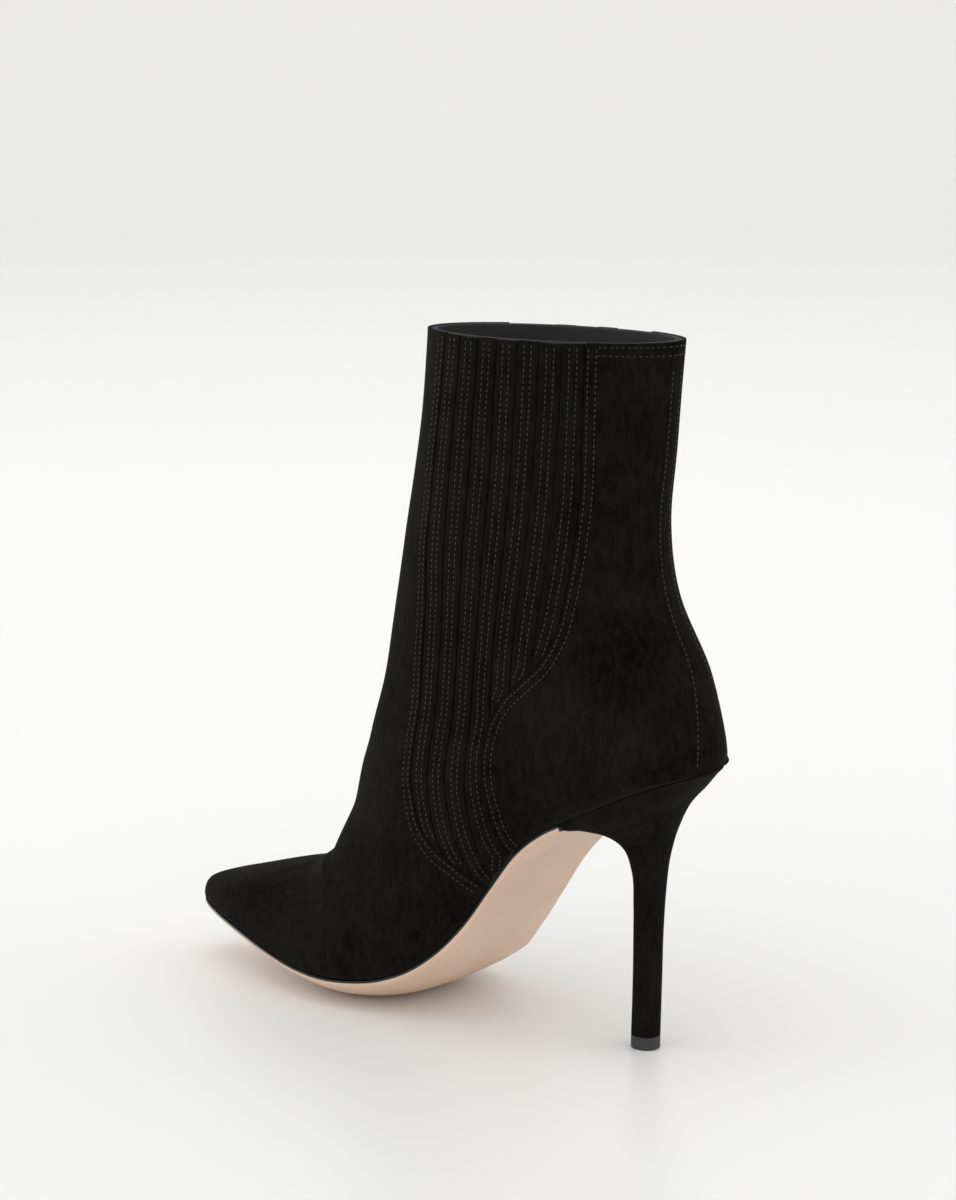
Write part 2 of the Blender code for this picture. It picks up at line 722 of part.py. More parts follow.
def make_heel(along, suede, rubber):
    ring_solid("heel", heel_rings(along), suede)
    ring_solid("heel_top_piece", [tip_ring(TIP_POINTS, z) for z in (TIP_RISE, 0)], rubber)


def make_facing(lining):
    last = len(FOOT) + len(SHAFT) - 1
    row_rise = above_seat(SHAFT[-1][1]) - above_seat(SHAFT[-2][1])
    rows = np.linspace(last - FACING_DEPTH / row_rise, last, FACING_ROWS)
    grid = upper_grid(rows, COLUMNS)
    normals = grid_normals(grid, 0)
    near = WALL + GAP
    between("collar_facing", grid - normals * near, grid - normals * (near + FACING), lining)


def main():
    for thing in list(bpy.data.objects):
        bpy.data.objects.remove(thing)
    suede = material("suede", (0.012, 0.012, 0.013), 0.9)
    leather = material("sole_leather", (0.62, 0.42, 0.32), 0.5)
    lining = material("lining", (0.03, 0.03, 0.03), 0.8)
    rubber = material("rubber", (0.03, 0.03, 0.032), 0.6)
    rows, foot_rows = upper_rows()
    grid = upper_grid(rows, COLUMNS)
    normals = grid_normals(grid, foot_rows)
    make_upper(grid, normals, foot_rows, suede)
    for side in (1, -1):
        make_strips(grid, normals, side, suede)
    make_back_strip(grid, normals, suede)
    make_facing(lining)
    along = foot_alongs(rows)
    make_bottom(along, leather, lining)
    make_heel(along, suede, rubber)


main()
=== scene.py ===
import math

import bmesh
import bpy
import numpy as np
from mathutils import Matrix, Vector


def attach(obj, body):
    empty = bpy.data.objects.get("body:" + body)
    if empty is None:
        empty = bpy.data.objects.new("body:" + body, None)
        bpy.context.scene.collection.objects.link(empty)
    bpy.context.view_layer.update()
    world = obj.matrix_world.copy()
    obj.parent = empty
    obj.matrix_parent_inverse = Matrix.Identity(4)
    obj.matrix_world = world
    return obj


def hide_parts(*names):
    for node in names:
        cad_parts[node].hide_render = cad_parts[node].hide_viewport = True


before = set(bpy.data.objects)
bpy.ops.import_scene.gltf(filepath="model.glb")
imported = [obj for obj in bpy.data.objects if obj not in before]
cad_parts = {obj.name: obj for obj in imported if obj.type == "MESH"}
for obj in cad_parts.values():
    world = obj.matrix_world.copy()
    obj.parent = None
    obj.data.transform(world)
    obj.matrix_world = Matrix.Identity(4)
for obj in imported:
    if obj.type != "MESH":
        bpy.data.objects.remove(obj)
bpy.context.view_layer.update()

# Driving sizes of the solids
LENGTH = 0.217
SEAT_RISE = 0.100
COLLAR_RISE = 0.239
BALL_WIDTH = 0.0725
WALL = 0.0020
SOLE = 0.0024
INSOLE = 0.0016
INSOLE_EASE = 0.0006
INSOLE_LIFT = 0.0002
GAP = 0.0003
HEEL_AT = 0.1175
BREAST_AT = 0.218
TIP_RISE = 0.0045
TIP_LENGTH = 0.0096
TIP_WIDTH = 0.0094
FACING = 0.0009
FACING_DEPTH = 0.018
BACK_PROUD = 0.0003
CROWN_POWER = 2.6
DISH = 0.55
LEVEL_AT = 0.46
D_POWER = 0.75
SHAFT_ROUND = 2.0
PAST_DROP = 1.4

# Half outline of the feather edge: place along the sole, medial and lateral half widths of BALL_WIDTH
OUTLINE = (
    (0.000, 0.000, 0.000),
    (0.061, 0.112, 0.112),
    (0.122, 0.204, 0.204),
    (0.184, 0.258, 0.258),
    (0.253, 0.281, 0.281),
    (0.312, 0.281, 0.281),
    (0.365, 0.281, 0.290),
    (0.402, 0.287, 0.320),
    (0.438, 0.308, 0.375),
    (0.475, 0.345, 0.446),
    (0.519, 0.390, 0.519),
    (0.559, 0.421, 0.563),
    (0.601, 0.428, 0.572),
    (0.645, 0.408, 0.535),
    (0.691, 0.364, 0.466),
    (0.743, 0.301, 0.375),
    (0.796, 0.234, 0.287),
    (0.850, 0.166, 0.199),
    (0.904, 0.102, 0.121),
    (1.000, 0.000, 0.000),
)

# Height of the feather edge: share of LENGTH from the back, medial and lateral shares of SEAT_RISE,
# and the crown across the bottom as a share of the half width
FEATHER = (
    (0.000, 1.000, 1.000, 0.00),
    (0.054, 0.960, 0.960, 0.00),
    (0.122, 0.895, 0.895, 0.00),
    (0.167, 0.845, 0.843, 0.00),
    (0.213, 0.793, 0.765, 0.00),
    (0.258, 0.738, 0.672, 0.02),
    (0.303, 0.655, 0.565, 0.04),
    (0.348, 0.525, 0.430, 0.06),
    (0.394, 0.382, 0.298, 0.09),
    (0.439, 0.272, 0.182, 0.13),
    (0.484, 0.195, 0.134, 0.18),
    (0.538, 0.141, 0.112, 0.235),
    (0.593, 0.117, 0.114, 0.27),
    (0.647, 0.109, 0.112, 0.285),
    (0.701, 0.117, 0.120, 0.275),
    (0.765, 0.139, 0.139, 0.235),
    (0.837, 0.167, 0.167, 0.20),
    (0.910, 0.190, 0.190, 0.18),
    (0.964, 0.202, 0.202, 0.18),
    (1.000, 0.207, 0.207, 0.18),
)

# Sections of the foot, each a line from the feather edge to the top: place along the sole, top point
# (shares of LENGTH and COLLAR_RISE), widest half widths (of BALL_WIDTH), where they lie, roundness
FOOT = (
    (1.00, 1.000, 0.101, 0.000, 0.000, 0.35, 2.0),
    (0.95, 0.989, 0.116, 0.069, 0.083, 0.35, 2.2),
    (0.88, 0.955, 0.129, 0.145, 0.172, 0.35, 2.2),
    (0.79, 0.896, 0.145, 0.255, 0.310, 0.33, 2.2),
    (0.69, 0.828, 0.163, 0.372, 0.476, 0.30, 2.2),
    (0.60, 0.778, 0.174, 0.441, 0.579, 0.28, 2.2),
    (0.52, 0.744, 0.184, 0.441, 0.552, 0.27, 2.2),
    (0.44, 0.710, 0.206, 0.421, 0.497, 0.30, 2.2),
    (0.36, 0.686, 0.244, 0.407, 0.448, 0.34, 2.2),
    (0.27, 0.665, 0.292, 0.407, 0.434, 0.38, 2.1),
    (0.17, 0.650, 0.350, 0.421, 0.434, 0.38, 2.1),
    (0.08, 0.631, 0.417, 0.421, 0.428, 0.34, 2.0),
    (0.00, 0.611, 0.483, 0.410, 0.414, 0.29, 2.0),
)

# Sections of the shaft: back point (shares of LENGTH and of the rise from seat to collar), front
# point (of LENGTH and COLLAR_RISE), half width, where it lies
SHAFT = (
    (0.0010, 0.084, 0.595, 0.554, 0.400, 0.37),
    (0.0240, 0.219, 0.580, 0.625, 0.386, 0.43),
    (0.0778, 0.391, 0.562, 0.708, 0.370, 0.50),
    (0.0945, 0.556, 0.544, 0.796, 0.352, 0.50),
    (0.0843, 0.756, 0.529, 0.892, 0.338, 0.50),
    (0.0715, 1.000, 0.520, 0.996, 0.331, 0.50),
)

# Edges of the gore seen from the side: shares of LENGTH from the back and of COLLAR_RISE
GORE_FRONT = (
    (0.434, 1.040), (0.443, 0.954), (0.451, 0.879), (0.459, 0.795), (0.465, 0.703), (0.469, 0.628),
    (0.474, 0.552), (0.480, 0.481), (0.484, 0.410), (0.478, 0.347), (0.456, 0.297), (0.422, 0.268),
    (0.387, 0.249), (0.355, 0.226), (0.332, 0.204), (0.310, 0.176),
)
GORE_BACK = (
    (0.175, 1.040), (0.179, 0.954), (0.181, 0.879), (0.184, 0.795), (0.192, 0.715), (0.200, 0.651),
    (0.210, 0.598), (0.230, 0.562), (0.262, 0.533), (0.297, 0.503), (0.324, 0.465), (0.333, 0.410),
    (0.325, 0.363), (0.313, 0.316), (0.303, 0.275), (0.294, 0.226), (0.287, 0.176),
)

# Lines between the strips: height, then the six places from the front, same shares
STRIP_LINES = (
    (1.040, 0.399, 0.362, 0.325, 0.287, 0.249, 0.212),
    (0.954, 0.406, 0.367, 0.329, 0.290, 0.251, 0.214),
    (0.879, 0.414, 0.373, 0.333, 0.294, 0.255, 0.218),
    (0.795, 0.420, 0.378, 0.337, 0.299, 0.260, 0.223),
    (0.703, 0.424, 0.384, 0.344, 0.306, 0.269, 0.231),
    (0.628, 0.428, 0.389, 0.350, 0.314, 0.277, 0.239),
    (0.552, 0.433, 0.395, 0.357, 0.322, 0.285, 0.246),
    (0.481, 0.441, 0.402, 0.364, 0.325, 0.286, 0.248),
    (0.410, 0.446, 0.408, 0.368, 0.320, 0.282, 0.248),
    (0.343, 0.441, 0.404, 0.364, 0.314, 0.278, 0.246),
    (0.297, 0.428, 0.390, 0.353, 0.304, 0.272, 0.242),
    (0.259, 0.405, 0.372, 0.342, 0.294, 0.266, 0.238),
    (0.218, 0.378, 0.352, 0.330, 0.284, 0.260, 0.234),
    (0.165, 0.345, 0.330, 0.316, 0.276, 0.254, 0.230),
)

# Half width of the strip down the back: share of the rise from seat to collar, share of BALL_WIDTH
BACK_EDGE = (
    (1.069, 0.050), (0.763, 0.050), (0.575, 0.052), (0.403, 0.058), (0.245, 0.078),
    (0.151, 0.108), (0.065, 0.132), (0.011, 0.142),
)

# Heel below the seat: back and front shares of SEAT_RISE in height, reach behind and before the
# heel's axis and half width as shares of BALL_WIDTH, share of the seat's outline kept
HEEL = (
    (0.926, 0.760, -0.272, 0.230, 0.236, 0.85),
    (0.862, 0.735, -0.196, 0.150, 0.174, 0.50),
    (0.780, 0.690, -0.146, 0.095, 0.118, 0.20),
    (0.690, 0.610, -0.111, 0.066, 0.086, 0.00),
    (0.560, 0.490, -0.088, 0.058, 0.072, 0.00),
    (0.420, 0.410, -0.077, 0.058, 0.068, 0.00),
    (0.250, 0.250, -0.072, 0.059, 0.066, 0.00),
)

# Layers of the wall, as heights under its outside
PANEL_BACK = 0.0014
STRIP_TOP = 0.0002
STRIP_BACK = 0.0009
BACKING_TOP = 0.0010
LINING_TOP = 0.00145

# Cut edges and the ground between stitches
EDGE_ROUND = 0.00045
PANEL_LIFT = 0.00025
LIFT_WIDTH = 0.006
STRIP_GAP = 0.00022
STRIP_PILLOW = 0.00016
SEAM_DEPTH = 0.00016
SEAM_WIDTH = 0.00040

# Sewing: pitch and length of a stitch, thread and its form along a stitch, rows' distances from an edge
PITCH = 0.0019
STITCH = 0.00118
THREAD_WIDE = 0.00046
THREAD_HIGH = 0.00030
THREAD_ARCH = 0.00010
THREAD_SUNK = 0.00008
THREAD_SIDES = 6
THREAD_LENGTH = np.array([0.0, 0.14, 0.5, 0.86, 1.0])
THREAD_GIRTH = np.array([0.40, 0.85, 1.0, 0.85, 0.40])
PANEL_ROWS = (0.0012, 0.0038)
STRIP_HALF_ROW = 0.0013
STRIP_ROW_ROOM = 0.0012
COLLAR_ROWS = (0.0013, 0.0040)
BACK_ROW_IN = 0.0013

# Creases: points in millimetres along the fold, reach to each side and rise, less than 0 for a trough
CREASES = (
    (((131, 2, 49), (124, 17, 46), (117, 25, 41), (113, 31, 30), (110, 33, 19)), 2.2, 1.15),
    (((127, 2, 50), (119, 19, 47), (112, 27, 41), (107, 32, 30)), 3.0, -0.45),
    (((137, 3, 43), (130, 16, 40), (124, 24, 35), (120, 29, 27)), 3.4, -1.00),
    (((134, 1, 44), (142, 8, 41), (152, 12, 36)), 2.2, 0.40),
    (((131, -2, 49), (123, -18, 46), (116, -29, 40), (112, -37, 30)), 2.6, 0.65),
    (((137, -3, 43), (129, -19, 40), (123, -29, 34)), 3.8, -0.70),
    (((118, 0, 68), (110, 14, 66), (101, 24, 60)), 4.5, -0.45),
    (((118, 0, 68), (110, -14, 66), (101, -25, 60)), 4.5, -0.40),
    (((114, 0, 92), (104, 16, 90), (92, 24, 86)), 5.0, -0.30),
    (((114, 0, 92), (104, -16, 90), (92, -24, 86)), 5.0, -0.30),
    (((-2, 14, 158), (8, 21, 160), (20, 25, 166)), 5.0, -0.30),
    (((-2, -14, 158), (8, -21, 160), (20, -25, 166)), 5.0, -0.30),
)

# Slight unevenness of the leather: its height, and its wave lengths in millimetres
UNEVEN = 0.00008
WAVES = (9.1, 13.0, 10.7, 12.3)
FOLD_POINTS = 24
FOLD_FADE = 0.6

# Places where the nap is brushed the other way: centre in millimetres, reach, strength
BRUSHED = (
    ((118, 34, 20), 17, 0.75),
    ((134, 30, 22), 15, 0.40),
    ((102, 33, 24), 12, -0.45),
    ((146, 16, 33), 15, -0.60),
    ((176, 6, 26), 12, 0.45),
    ((92, 31, 40), 14, 0.25),
    ((20, 26, 118), 16, 0.30),
    ((2, 22, 140), 15, -0.25),
    ((-8, 24, 112), 12, 0.30),
    ((104, 20, 78), 14, 0.20),
    ((80, 20, 190), 18, 0.15),
    ((118, -38, 20), 18, 0.60),
    ((146, -18, 33), 15, -0.50),
    ((20, -26, 118), 16, 0.30),
)

# Photograph's camera: its height in pixels, turn about the boot, distance, shift aside, height, tilt
# and focal length in those pixels
FRAME_HIGH = 1200
VIEW_TURN = math.radians(35.6)
VIEW_DISTANCE = 1.000
VIEW_SIDE = 0.0566
VIEW_RISE = 0.357
VIEW_TILT = math.radians(11.507)
FOCAL = 3121.8
SENSOR = 36.0

# Fineness of the meshes
FRONT_ROWS = 230
FRONT_COLUMNS = 72
REAR_ROWS = 170
REAR_COLUMNS = 30
REAR_CROWDING = 1.15
STRIP_ROWS = 130
STRIP_CROWDING = 1.1
BACKING_COLUMNS = 40
FACING_ROWS = 24
LINING_ROWS = 120
LINING_COLUMNS = 60
SCAN_ROWS = 500
SCAN_STEPS = 260
MEETING_STEPS = 6000
LINE_POINTS = 200
MOVES = 6
SOLE_ROWS = 110
SOLE_ACROSS = 26
HEEL_RINGS = 80
HEEL_SIDE = 26
BREAST_POINTS = 7
TIP_POINTS = 25

# Smallest distance and width in metres, and the step in rows and places that gives a slope
TINY = 1e-6
HAIR = 1e-4
NORMAL_STEP = 0.004

# Normals: row nearest to the toe tip that has one, and where they turn level at the seat's back
NOSE_ROW = 0.06
SEAT_ROW = 9.5
SEAT_EDGE = 0.7
SEAT_FADE = 0.25
SEAT_LEVEL = 5

# Columns beside a cut edge, as distances from it, and how many times their width a row needs for them
FINE_EDGE = np.array([0.0, 0.00008, 0.0002, 0.00045, 0.0008, 0.0012, 0.0016, 0.0025, 0.0034, 0.0038, 0.0043])
FINE_ROOM = 2.5

# Ends under the collar, in rows: backing, lining and back strip, facing, and rows of stitches
BACKING_END = 0.01
LAYER_END = 0.004
FACING_END = 0.006
STRIP_SEWN_END = 0.03
GORE_SEWN_END = 0.04
BACK_SEWN_END = 0.25
COLLAR_MEET = 0.02

# Where the lining starts, the facing's turned edge (rows, depth), where the back strip's rows start
# over its foot, places that the collar's rows reach beside and on the strip, and their points
LINING_START = 0.6
TURNED_ROWS = 0.05
TURNED_DEPTH = 0.0002
BACK_SEWN_START = 0.06
BACK_PLACE = 0.97
BESIDE_BACK = 0.075
ON_BACK = 0.07
SEWN_POINTS = {"back": 600, "collar": 200, "back_collar": 60}

# Longest moves of a line across itself in one round, and how near it may come to the gore's foot
MOVE_ROWS = 0.3
MOVE_PLACE = 0.05
LOW_REACH = 0.002
LOW_PLACE = 0.004

# Space left beside the breast and soft edge of the sock: share across, drop
BREAST_ROOM = 0.004
SOCK_EDGE = 0.004
SOCK_DROP = 0.0004

# How far in rows each strip ends under the collar, and a strip's columns as shares of its width
STRIP_ENDS = (0.010, 0.022, 0.006, 0.018, 0.004, 0.020, 0.010)
STRIP_SHARES = np.array([0, 0.012, 0.035, 0.07, 0.13, 0.20, 0.27, 0.32, 0.37, 0.43, 0.50])
STRIP_SHARES = np.concatenate([STRIP_SHARES, 1 - STRIP_SHARES[-2::-1]])

# Back strip's columns as shares of its half width
BACK_SHARES = np.array([1, 0.985, 0.95, 0.88, 0.80, 0.72, 0.64, 0.5, 0.35, 0.2, 0.1])
BACK_SHARES = np.concatenate([BACK_SHARES, [0], -BACK_SHARES[::-1]])

# Side of the sole: inset of its line, share of its thickness down, from the top to the bottom; how
# many of its bands are painted
SOLE_SIDE = (
    (0.0004, 0.00), (-0.0003, 0.08), (-0.0004, 0.42), (-0.0003, 0.52), (0.0, 0.86), (0.0006, 1.00),
)
PAINTED = 2

# Heel's rings at the seat, as drops under it and reaches out of its outline, and the top piece's
# rings as insets and heights
SEAT_RINGS = ((0.00004, -0.0006), (0.00008, 0.0), (0.0003, 0.0002), (0.0008, 0.0), (0.0017, -0.0009))
TIP_RINGS = ((0.0003, TIP_RISE), (0, TIP_RISE - 0.0003), (0, 0.0004), (0.0003, 0.0001), (0.0005, 0.0))

# Leathers: name, dark and light tones, roughness, coat, bump and grain
LEATHERS = {
    "thread": ("black thread", (0.008, 0.0075, 0.006), (0.020, 0.019, 0.016), 0.5, 0, 0.3, 4000.0),
    "sock": ("sock leather", (0.016, 0.016, 0.016), (0.036, 0.035, 0.034), 0.6, 0, 0.5, 1200.0),
    "sole": ("sole leather", (0.70, 0.49, 0.36), (0.80, 0.60, 0.46), 0.48, 0, 0.35, 1300.0),
    "paint": ("edge paint", (0.002, 0.002, 0.002), (0.005, 0.005, 0.005), 0.28, 0.05, 0.1, 600.0),
    "rubber": ("top piece rubber", (0.022, 0.024, 0.024), (0.046, 0.048, 0.047), 0.62, 0, 0.5, 2200.0),
}

# Soft lights: name, place, aim, size and power
BOOT_MIDDLE = (0.05, 0.0, 0.10)
LIGHTS = (
    ("overhead_soft", (0.2, 0.2, 2.2), BOOT_MIDDLE, 2.2, 7),
    ("backdrop_soft", (0.6, -0.6, 2.4), (2.2, -3.0, 0.9), 2.0, 13),
    ("front_soft", (1.6, 0.9, 1.1), BOOT_MIDDLE, 1.4, 4),
    ("rear_soft", (-1.3, -0.6, 1.3), BOOT_MIDDLE, 1.2, 3),
)

# Stage: reach towards and past the boot, half width, radius of its sweep, height and steps
FLOOR_NEAR = -4.0
FLOOR_FAR = 3.0
FLOOR_HALF = 6.0
SWEEP = 1.5
BACKDROP_HIGH = 5.0
SWEEP_STEPS = 12

AWAY = Vector((math.sin(VIEW_TURN), -math.cos(VIEW_TURN), 0))
ASIDE = Vector((math.cos(VIEW_TURN), math.sin(VIEW_TURN), 0))
WORDS = {1: "medial", -1: "lateral"}


def spline(places, values, at):
    """Smooth curve through a table's values, held at the ends of the table."""
    places = np.asarray(places, float)
    values = np.asarray(values, float)
    at = np.clip(np.asarray(at, float), places[0], places[-1])
    steps = np.diff(places)
    slopes = np.diff(values) / steps
    bends = np.empty_like(values)
    bends[1:-1] = (slopes[:-1] * steps[1:] + slopes[1:] * steps[:-1]) / (steps[1:] + steps[:-1])
    bends[0] = 2 * slopes[0] - bends[1]
    bends[-1] = 2 * slopes[-1] - bends[-2]
    k = np.clip(np.searchsorted(places, at, side="right") - 1, 0, len(places) - 2)
    step = steps[k]
    s = (at - places[k]) / step
    near = (2 * s**3 - 3 * s**2 + 1) * values[k] + (s**3 - 2 * s**2 + s) * step * bends[k]
    far = (3 * s**2 - 2 * s**3) * values[k + 1] + (s**3 - s**2) * step * bends[k + 1]
    return near + far


def column(table, index):
    return np.array([row[index] for row in table], float)


LAST_FOOT = len(FOOT) - 1
LAST = len(FOOT) + len(SHAFT) - 1
FOOT_ROWS = np.arange(LAST_FOOT + 1)
ALL_ROWS = np.arange(LAST + 1)
TOP_X = np.concatenate([column(FOOT, 1), column(SHAFT, 2)])
TOP_Z = np.concatenate([column(FOOT, 2), column(SHAFT, 3)])
WIDE_MEDIAL = np.concatenate([column(FOOT, 3), column(SHAFT, 4)])
WIDE_LATERAL = np.concatenate([column(FOOT, 4), column(SHAFT, 4)])
WIDE_PLACE = np.concatenate([column(FOOT, 5), column(SHAFT, 5)])
ROUNDNESS = np.concatenate([column(FOOT, 6), np.full(len(SHAFT), SHAFT_ROUND)])
BACK_X = np.concatenate([[0.0], column(SHAFT, 0)])
BACK_Z = np.concatenate([[0.0], column(SHAFT, 1)])


def above_seat(share):
    """Height of a share of the rise from the seat's back to the collar."""
    return SEAT_RISE + (COLLAR_RISE - SEAT_RISE) * share


COLLAR_ROW = above_seat(SHAFT[-1][1]) - above_seat(SHAFT[-2][1])


def station_x(along):
    """X of a place along the sole: 0 is the back of the seat, 1 the toe tip."""
    share = (1 - np.cos(np.pi * np.asarray(along, float))) / 2
    return (share - HEEL_AT) * LENGTH


def along_of(x):
    share = np.clip(np.asarray(x, float) / LENGTH + HEEL_AT, 0, 1)
    return np.arccos(1 - 2 * share) / np.pi


def half_widths(along):
    medial = spline(column(OUTLINE, 0), column(OUTLINE, 1), along) * BALL_WIDTH
    lateral = spline(column(OUTLINE, 0), column(OUTLINE, 2), along) * BALL_WIDTH
    return np.maximum(medial, 0), np.maximum(lateral, 0)


def feather(x, index):
    share = np.asarray(x, float) / LENGTH + HEEL_AT
    return spline(column(FEATHER, 0), column(FEATHER, index), share)


def across_of(x, y):
    """Place across the bottom: 0 at the lateral edge, 1 at the medial."""
    medial, lateral = half_widths(along_of(x))
    share = (np.asarray(y, float) + lateral) / np.maximum(medial + lateral, 1e-4)
    return np.clip(share, -0.1, 1.1)


def seat_z(x, y):
    """Height of the bottom under the foot before its crown, ruled from edge to edge."""
    low = feather(x, 2) * SEAT_RISE
    high = feather(x, 1) * SEAT_RISE
    return low + (high - low) * across_of(x, y)


def crown(x, y):
    """Drop of the bottom below its edges."""
    medial, lateral = half_widths(along_of(x))
    depth = feather(x, 3) * (medial + lateral) / 2
    return depth * (1 - np.minimum(np.abs(2 * across_of(x, y) - 1), 1) ** CROWN_POWER)


def steepness(x):
    """Vertical thickness of a sloping layer against its true thickness."""
    rise = (feather(x + 0.001, 1) - feather(x - 0.001, 1)) * SEAT_RISE / 0.002
    return np.sqrt(1 + rise**2)


def skin(q, u):
    """Points of the upper's outside at row q, 0 at the toe tip and LAST at the collar.

    u is 1 on the medial feather edge or the back seam, 0 on the top line and -1 on the lateral side.
    """
    q, u = np.broadcast_arrays(np.clip(np.asarray(q, float), 0, LAST), np.asarray(u, float))
    u = np.where(q > LAST_FOOT, (u + 1) % 2 - 1, np.clip(u, -1, 1))
    medial = u >= 0
    v = (1 + np.cos(np.pi * u)) / 2
    on_foot = q <= LAST_FOOT
    along = np.clip(spline(FOOT_ROWS, column(FOOT, 0), q), 0, 1)
    foot_x = station_x(along)
    foot_z = np.where(medial, feather(foot_x, 1), feather(foot_x, 2)) * SEAT_RISE
    edges = half_widths(along)
    back_rows = ALL_ROWS[LAST_FOOT:]
    low_x = np.where(on_foot, foot_x, (spline(back_rows, BACK_X, q) - HEEL_AT) * LENGTH)
    low_z = np.where(on_foot, foot_z, above_seat(spline(back_rows, BACK_Z, q)))
    edge = np.where(on_foot, np.where(medial, edges[0], edges[1]), 0)
    top_x = (spline(ALL_ROWS, TOP_X, q) - HEEL_AT) * LENGTH
    top_z = spline(ALL_ROWS, TOP_Z, q) * COLLAR_RISE
    wide = np.where(medial, spline(ALL_ROWS, WIDE_MEDIAL, q), spline(ALL_ROWS, WIDE_LATERAL, q))
    wide = np.maximum(wide * BALL_WIDTH, edge)
    place = spline(ALL_ROWS, WIDE_PLACE, q)
    power = spline(ALL_ROWS, ROUNDNESS, q)
    below = np.sqrt(np.maximum(0, 1 - ((place - np.minimum(v, place)) / place) ** 2))
    above = np.clip((v - place) / (1 - place), 0, 1)
    half = np.where(v < place, edge + (wide - edge) * below, wide * (1 - above**power) ** (1 / power))
    y = np.where(medial, half, -half)
    return np.stack([low_x + (top_x - low_x) * v, y, low_z + (top_z - low_z) * v], -1)


def smooth_step(x):
    x = np.clip(x, 0, 1)
    return x * x * (3 - 2 * x)


def unit(ways):
    return ways / np.maximum(np.linalg.norm(ways, axis=-1, keepdims=True), 1e-12)


def nudged(q, u, down, across):
    """Change of the outside's points between small steps to either side."""
    return skin(q + down, u + across) - skin(q - down, u - across)


def outward(q, u):
    """Unit normals of the outside; level at the collar, along the feather edge and at the seat's back."""
    q, u = np.broadcast_arrays(np.asarray(q, float), np.asarray(u, float))
    base = np.clip(q, NOSE_ROW, LAST)
    normals = unit(np.cross(nudged(base, u, 0, NORMAL_STEP), nudged(base, u, NORMAL_STEP, 0)))
    level = unit(skin(base, u) * (1, 1, 0))
    near_seat = smooth_step((q - SEAT_ROW) / (LAST_FOOT - SEAT_ROW))
    near_seat = near_seat * smooth_step((np.abs(u) - SEAT_EDGE) / SEAT_FADE)
    near_seat = np.where(q <= LAST_FOOT, near_seat, 0)
    normals = unit(normals + SEAT_LEVEL * near_seat[..., None] * level)
    rim = ((np.abs(u) > 1 - TINY) & (q <= LAST_FOOT)) | (q > LAST - TINY)
    normals[..., 2] = np.where(rim, 0, normals[..., 2])
    return unit(normals)


def travelled(points):
    """Distance run along a line of points, or along each row of a grid of them."""
    steps = np.linalg.norm(np.diff(points, axis=-2), axis=-1)
    return np.concatenate([np.zeros(steps.shape[:-1] + (1,)), np.cumsum(steps, -1)], -1)


def dense(points, count):
    """Even points along a smooth curve through a short list of points."""
    points = np.asarray(points, float)
    run = travelled(points)
    at = np.linspace(0, run[-1], count)
    return np.stack([spline(run, points[:, k], at) for k in range(points.shape[1])], 1)


def fold_relief(points):
    """Rise of the leather over its plain form: listed creases and a slight unevenness."""
    flat = points.reshape(-1, 3)
    rise = np.zeros(len(flat))
    for fold, reach, height in CREASES:
        line = dense(np.array(fold) / 1000, FOLD_POINTS)
        gaps = np.linalg.norm(flat[:, None] - line[None], axis=2)
        fade = np.sin(np.pi * (gaps.argmin(1) + 0.5) / len(line)) ** FOLD_FADE
        rise += height / 1000 * fade * np.exp(-((gaps.min(1) * 1000 / reach) ** 2))
    x, y, z = flat.T * 1000
    rise += UNEVEN * np.sin(x / WAVES[0] + z / WAVES[1]) * np.sin(z / WAVES[2] - y / WAVES[3])
    return rise.reshape(points.shape[:-1])


def laid(q, u, height):
    """Points at a height over the leather's outside, creases followed."""
    base = skin(q, u)
    rise = height + fold_relief(base)
    return base + outward(q, u) * rise[..., None]


def speed(q, u):
    """Metres of surface for each unit of u."""
    return np.maximum(np.linalg.norm(nudged(q, u, 0, NORMAL_STEP), axis=-1) / (2 * NORMAL_STEP), HAIR)


def side_line(table, side):
    """Side view line in metres as it lies on a side, from its low end up."""
    line = dense(np.array(table) * (LENGTH, COLLAR_RISE) - (HEEL_AT * LENGTH, 0), LINE_POINTS)
    if side < 0:
        x, z = line[:, 0], line[:, 1]
        medial = feather(x, 1) * SEAT_RISE
        drop = medial - feather(x, 2) * SEAT_RISE
        level = LEVEL_AT * COLLAR_RISE
        share = np.clip((level - z) / np.maximum(level - medial, 0.01), 0, PAST_DROP)
        line = np.stack([x, z - drop * share], 1)
    return line[np.argsort(line[:, 1])]


def reach_of(rows, side, table):
    """Place w up each row, 0 at its low end, where it passes a side view line."""
    line = side_line(table, side)
    steps = np.linspace(0, 1, SCAN_STEPS)
    points = skin(rows[:, None], (1 - steps)[None] * side)
    ahead = points[..., 0] - np.interp(points[..., 2], line[:, 1], line[:, 0])
    first = np.argmax(ahead >= 0, axis=1)
    before = np.maximum(first - 1, 0)
    pick = np.arange(len(rows))
    low, high = ahead[pick, before], ahead[pick, first]
    part = np.where(first > 0, -low / np.where(high == low, 1, high - low), 0)
    return steps[before] + part * (steps[1] - steps[0])


def strip_line(k):
    return np.stack([column(STRIP_LINES, k), column(STRIP_LINES, 0)], 1)


GORE_LINES = [GORE_FRONT] + [strip_line(k) for k in range(1, 7)] + [GORE_BACK]


def rounded_edge(distance):
    """Fall of a cut edge of leather."""
    inside = np.clip(1 - distance / EDGE_ROUND, 0, 1)
    return -EDGE_ROUND * (1 - np.sqrt(np.maximum(1 - inside**2, 0)))


def seam_dip(distance, places):
    """Fall of the leather along rows of stitches at some distances from an edge."""
    dip = np.zeros_like(distance)
    for place in places:
        dip -= SEAM_DEPTH * np.exp(-(((distance - place) / SEAM_WIDTH) ** 2))
    return dip


